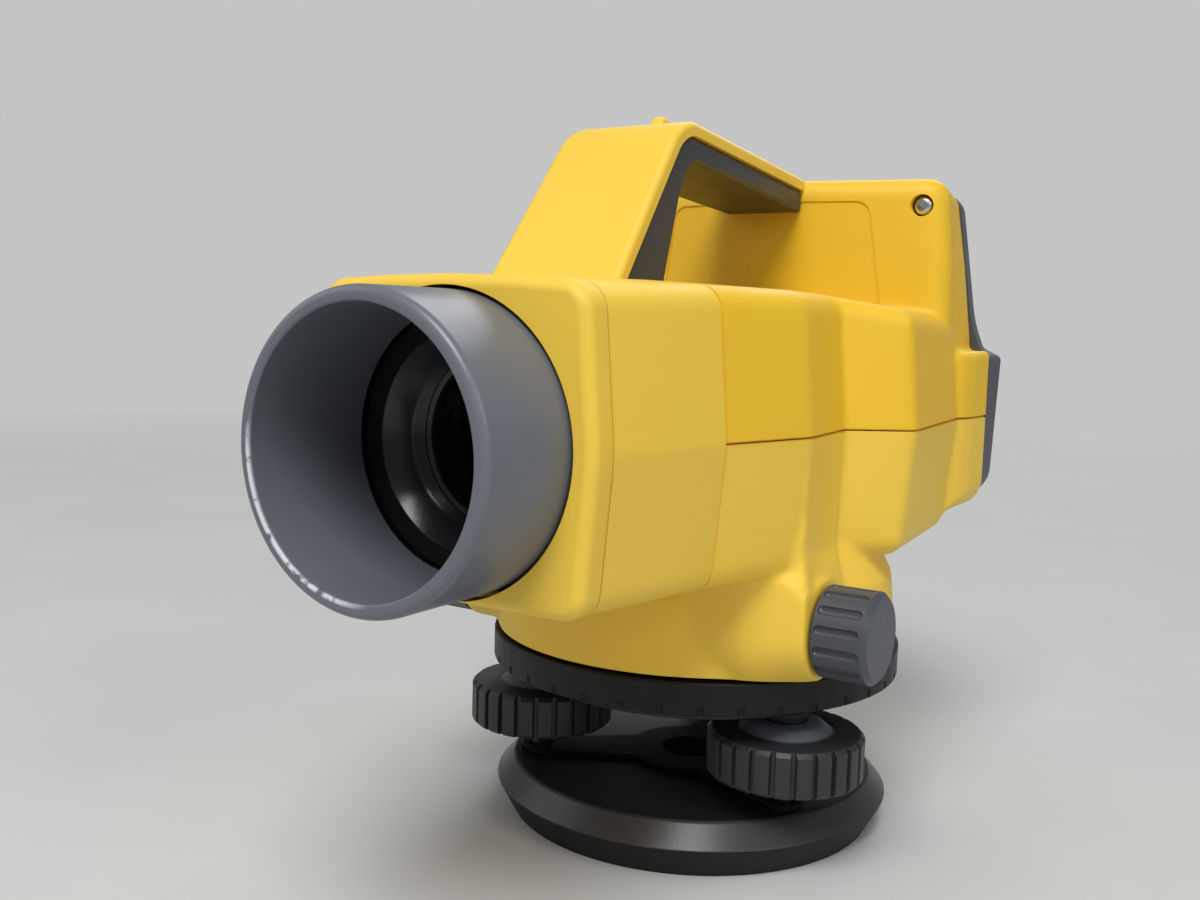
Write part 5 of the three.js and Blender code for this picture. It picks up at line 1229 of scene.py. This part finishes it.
ring = turned([
    (13.7, 89.6), (15.9, 89.6), (16.4, 90.2), (16.4, 103.6), (15.4, 104.6), (13.7, 104.6),
], 112, "Y", sight_axis)
ridge_tool = rod(1.1, 91.2, 102.2, "Y", (0, 0, sight + 16.95), 16)
soften(ridge_tool, 0.5, 3, 60)
ring = cut(ring, around(ridge_tool, 28, (0, 1, 0), sight_axis))
soften(ring, 0.15, 2, 50, lambda p: from_sight(p) > 15.5)
piece("dioptre_ring_grip", ring, key_black, "dioptre", "black_key", "dioptre_ring")

cell = turned([(8.4, 82), (11.2, 82), (11.2, 107), (9.4, 107), (8.4, 105.4)], 96, "Y", sight_axis)
piece("eyepiece_cell_tube", cell, anodised, "eyepiece_slide", "anodised", "eyepiece_cell")
bulge = [(8.35 * k / 8, 104.6 - 1.2 * (k / 8) ** 2) for k in range(7, -1, -1)]
eye_lens = turned([(0, 101.0), (8.35, 101.6), (8.35, 103.4), *bulge], 64, "Y", sight_axis)
piece("eye_lens", eye_lens, lens_glass, "eyepiece_slide", "glass")

cup = turned([
    (13.2, 104.9), (15.4, 104.9), (15.6, 107.6), (15.2, 108.6), (15.8, 109.8), (16.6, 116),
    (17.2, 121.6), (17.1, 123.0), (16.4, 123.8), (15.6, 123.5), (15.2, 122.2), (14.6, 116),
    (13.6, 109.4), (13.2, 108.6),
], 96, "Y", sight_axis)
soften(cup, 0.4, 3, 20)
piece("eyecup_rubber", cup, rubber, "dioptre", "rubber", "eyecup")

# %% [markdown]
# The circular level stands on the deck beside the handle. Its glass holds a yellow-green liquid,
# a bubble and one painted ring. The folding mirror lets the operator see it from the eyepiece.

# %% Circular level
vial_place = Vector((-41.6, 6, 0))
base = box((-50.6, -4.6, sight), (-29.4, 16.6, sight + 38.6))
soften(base, 2.4, 5, 60, lambda p: p.z > sight + 38.5 or sight + 1 < p.z < sight + 37)
ears = [
    soften(box((-32.6, y - 1.1, sight + 36), (-29.4, y + 1.1, sight + 44.2)), 0.9, 4, 60,
           lambda p: p.z > sight + 40)
    for y in (-3.5, 15.5)
]
well = rod(8.3, sight + 35, sight + 40, "Z", vial_place, 96)
base = cut(join(base, *ears), body_form(-gap, 6), well)
piece("level_base_block", base, slate, "alidade", "slate", "level_base")
dome = [(0, 35.3), (8, 35.3), (8, 38.3), (7.4, 38.8), (4, 38.9), (0, 38.9)]
vial = turned([(x, sight + rise) for x, rise in dome], 64, "Z", vial_place)
piece("level_vial_glass", vial, liquid, "alidade", "glass", "level_vial")
bubble = turned([
    (0, 38.85), (2.4, 38.92), (2.7, 39.0), (2.3, 39.08), (0, 39.1),
], 48, "Z", (-41.3, 5.8, sight))
piece("level_bubble", bubble, clear_window, "alidade", "glass")
mark = turned([
    (3.5, 38.88), (3.8, 38.88), (3.8, 38.98), (3.5, 38.98),
], 64, "Z", (vial_place.x, vial_place.y, sight))
piece("level_ring", mark, matt_black, "alidade", "black_paint")

# %% Folding mirror
hinge = Vector((-31.0, 6.0, sight + 42.6))
fold = Matrix.Rotation(math.radians(60), 3, "Y")
backing = box((-16, -8.1, -0.5), (0, 8.1, 0.9))
soften(backing, 0.6, 3, 60)
backing = join(backing, rod(0.9, -8.1, 8.1, "Y", (-0.4, 0, 0), 24))
silver = box((-15.2, -7.3, -0.9), (-1.6, 7.3, -0.4))
soften(silver, 0.2, 2, 60)
for bm in (backing, silver):
    bmesh.ops.rotate(bm, verts=bm.verts, cent=ORIGIN, matrix=fold)
    bmesh.ops.translate(bm, verts=bm.verts, vec=hinge)
piece("level_mirror_frame", backing, key_black, "level_mirror", "mirror", "level_mirror")
piece("level_mirror_face", silver, mirror, "level_mirror", "mirror")

# %% [markdown]
# The foot is turned metal. The ring for rough directions has fine notches round its lower edge.
# The head below it carries three bosses for the foot screws.

# %% Direction ring
ring = turned([(49.2, 41.2), (55, 41.2), (55, 49.3), (49.2, 49.3)], 180)
soften(ring, 0.6, 3, 60)
notch = rod(0.8, 40, 43.6, "Z", (0, 55.2, 0), 12)
ring = cut(ring, around(notch, 36, (0, 0, 1), ORIGIN))
piece("circle_ring_band", ring, ring_black, "circle", "black_paint", "circle_ring")

# %% Levelling head
foot_radius = 41.6
foot_angles = [math.radians(a) for a in (92.3, 212.3, 332.3)]
foot_spots = [
    Vector((foot_radius * math.cos(a), foot_radius * math.sin(a), 0)) for a in foot_angles
]
head = turned([
    (12.7, 38.4), (48.4, 38.4), (48.4, 41.8), (21.6, 41.8), (21.6, 66), (12.7, 66),
], 128)
soften(head, 0.5, 3, 60, lambda p: math.hypot(p.x, p.y) > 48)
for spot in foot_spots:
    boss = rod(6.6, 38.4, 48.6, "Z", spot, 48)
    soften(boss, 0.5, 3, 60, lambda p: p.z > 48)
    bore, mouth = rod(4.3, 37, 47.4, "Z", spot, 48), rod(5.7, 37, 40.2, "Z", spot, 48)
    head = cut(join(head, boss), bore, mouth)
piece("levelling_head_plate", head, paint, "head", "black_paint", "levelling_head")

# %% [markdown]
# Each foot screw has a broad knob with 24 ribs, a paler collar, a dark dust sleeve and a ball end
# under the spring plate. The three are the same shape, so one is modelled and copied. Only the
# first screw also rises, so its knob and its spindle ride on bodies of their own.

# %% Foot knobs and spindles
knob = turned([
    (4.3, 21.8), (18.7, 21.8), (19.4, 22.6), (19.4, 32.0), (18.4, 33.0), (13.2, 33.0), (12.6, 32.7),
    (11.6, 32.9), (9.6, 34.6), (8.2, 35.4), (4.3, 35.4),
], 144)
rib_gap = plate([(-0.45, 18.1), (0.45, 18.1), (0.95, 20.2), (-0.95, 20.2)], 21, 34, "Z")
knob = cut(knob, around(rib_gap, 24, (0, 0, 1), ORIGIN))
soften(knob, 0.3, 3, 35, lambda p: math.hypot(p.x, p.y) > 17.5)
ball_radius, ball_middle = 4.1, 11.2
turns = [t * math.pi / 16 for t in range(13)]
ball = [
    (ball_radius * math.sin(t), ball_middle - ball_radius * math.cos(t)) for t in turns
]
spindle = turned([
    *ball, (2.7, 14.6), (2.7, 20.0), (4.0, 21.3), (4.0, 34.6), (5.3, 35.0), (5.3, 38.2),
    (4.0, 38.5), (4.0, 45.4), (0, 45.4),
], 48)
for number, spot in enumerate(foot_spots, 1):
    screw = f"foot_screw_{number}"
    for name, shape, material, body, given in (
        ("knob", knob, foot_slate, "foot_knob_1" if number == 1 else screw, "slate"),
        ("spindle", spindle, anodised, screw, "steel"),
    ):
        copy = shape.copy()
        bmesh.ops.translate(copy, verts=copy.verts, vec=spot)
        piece(f"foot_{name}_{number}_turned", copy, material, body, given, f"foot_{name}_{number}")

# %% [markdown]
# The base plate is a turned disc with a matt top, a satin chamfer and a matt rim that falls back
# to the tripod head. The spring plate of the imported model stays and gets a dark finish.

# %% Base plate
base = turned([
    (7.9, 0), (49.2, 0), (53.4, 7.6), (53.4, 8.0), (48.4, 13.6), (46.8, 13.6), (46.8, 13.1),
    (7.9, 13.1),
], 180)
soften(base, 0.25, 2, 25)
base = cut(base, *[rod(4.9, 6.8, 15, "Z", spot, 48) for spot in foot_spots])
piece("base_plate_disc", base, base_black, "foot", "black_paint", "base_plate")

# %% [markdown]
# The battery sits behind its door. It is a rounded pack with two contact strips and a groove for
# a finger nail.

# %% Battery
low, high = [Vector(corner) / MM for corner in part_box("battery")]
nail_groove = box((low.x - 1, low.y + 6, high.z - 5), (low.x + 0.8, high.y - 6, high.z - 3))
pack = cut(soften(box(low, high), 1.5, 4, 60), soften(nail_groove, 0.3, 2, 60))
strips = [
    soften(box((low.x - 0.25, y, low.z + 3), (low.x + 1, y + 4, low.z + 7)), 0.1, 2, 60)
    for y in (low.y + 6, high.y - 10)
]
piece("battery_pack", pack, grip_slate, "alidade", "slate", "battery")
piece("battery_contacts", join(*strips), brass, "alidade", "brass")

# %% [markdown]
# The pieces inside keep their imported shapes. Each is given the finish that the real one has, and
# nothing else about them changes.

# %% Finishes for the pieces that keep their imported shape
def dress(material, *names):
    for name in names:
        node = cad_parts[name]
        for place in node.material_slots:
            place.material = material


dress(alloy, "chassis", "focus_carriage", "compensator_frame")
dress(steel, "focus_shaft", "worm_shaft", "axis_spindle", "compensator_pendulum")
dress(brass, "worm_wheel", "axis_bush")
dress(lens_glass, "focus_lens", "beam_splitter")
dress(board, "sensor_board", "main_board")
dress(matt_black, "spring_plate")
shown = [name for name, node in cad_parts.items() if not node.hide_render]
print(len(shown), "packed pieces still show:", shown)

# %% [markdown]
# The box of the visible model is printed, in millimetres.

# %% Size and finish
low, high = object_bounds()
print("visible box in mm:", [round(1000 * (b - a), 1) for a, b in zip(low, high)])
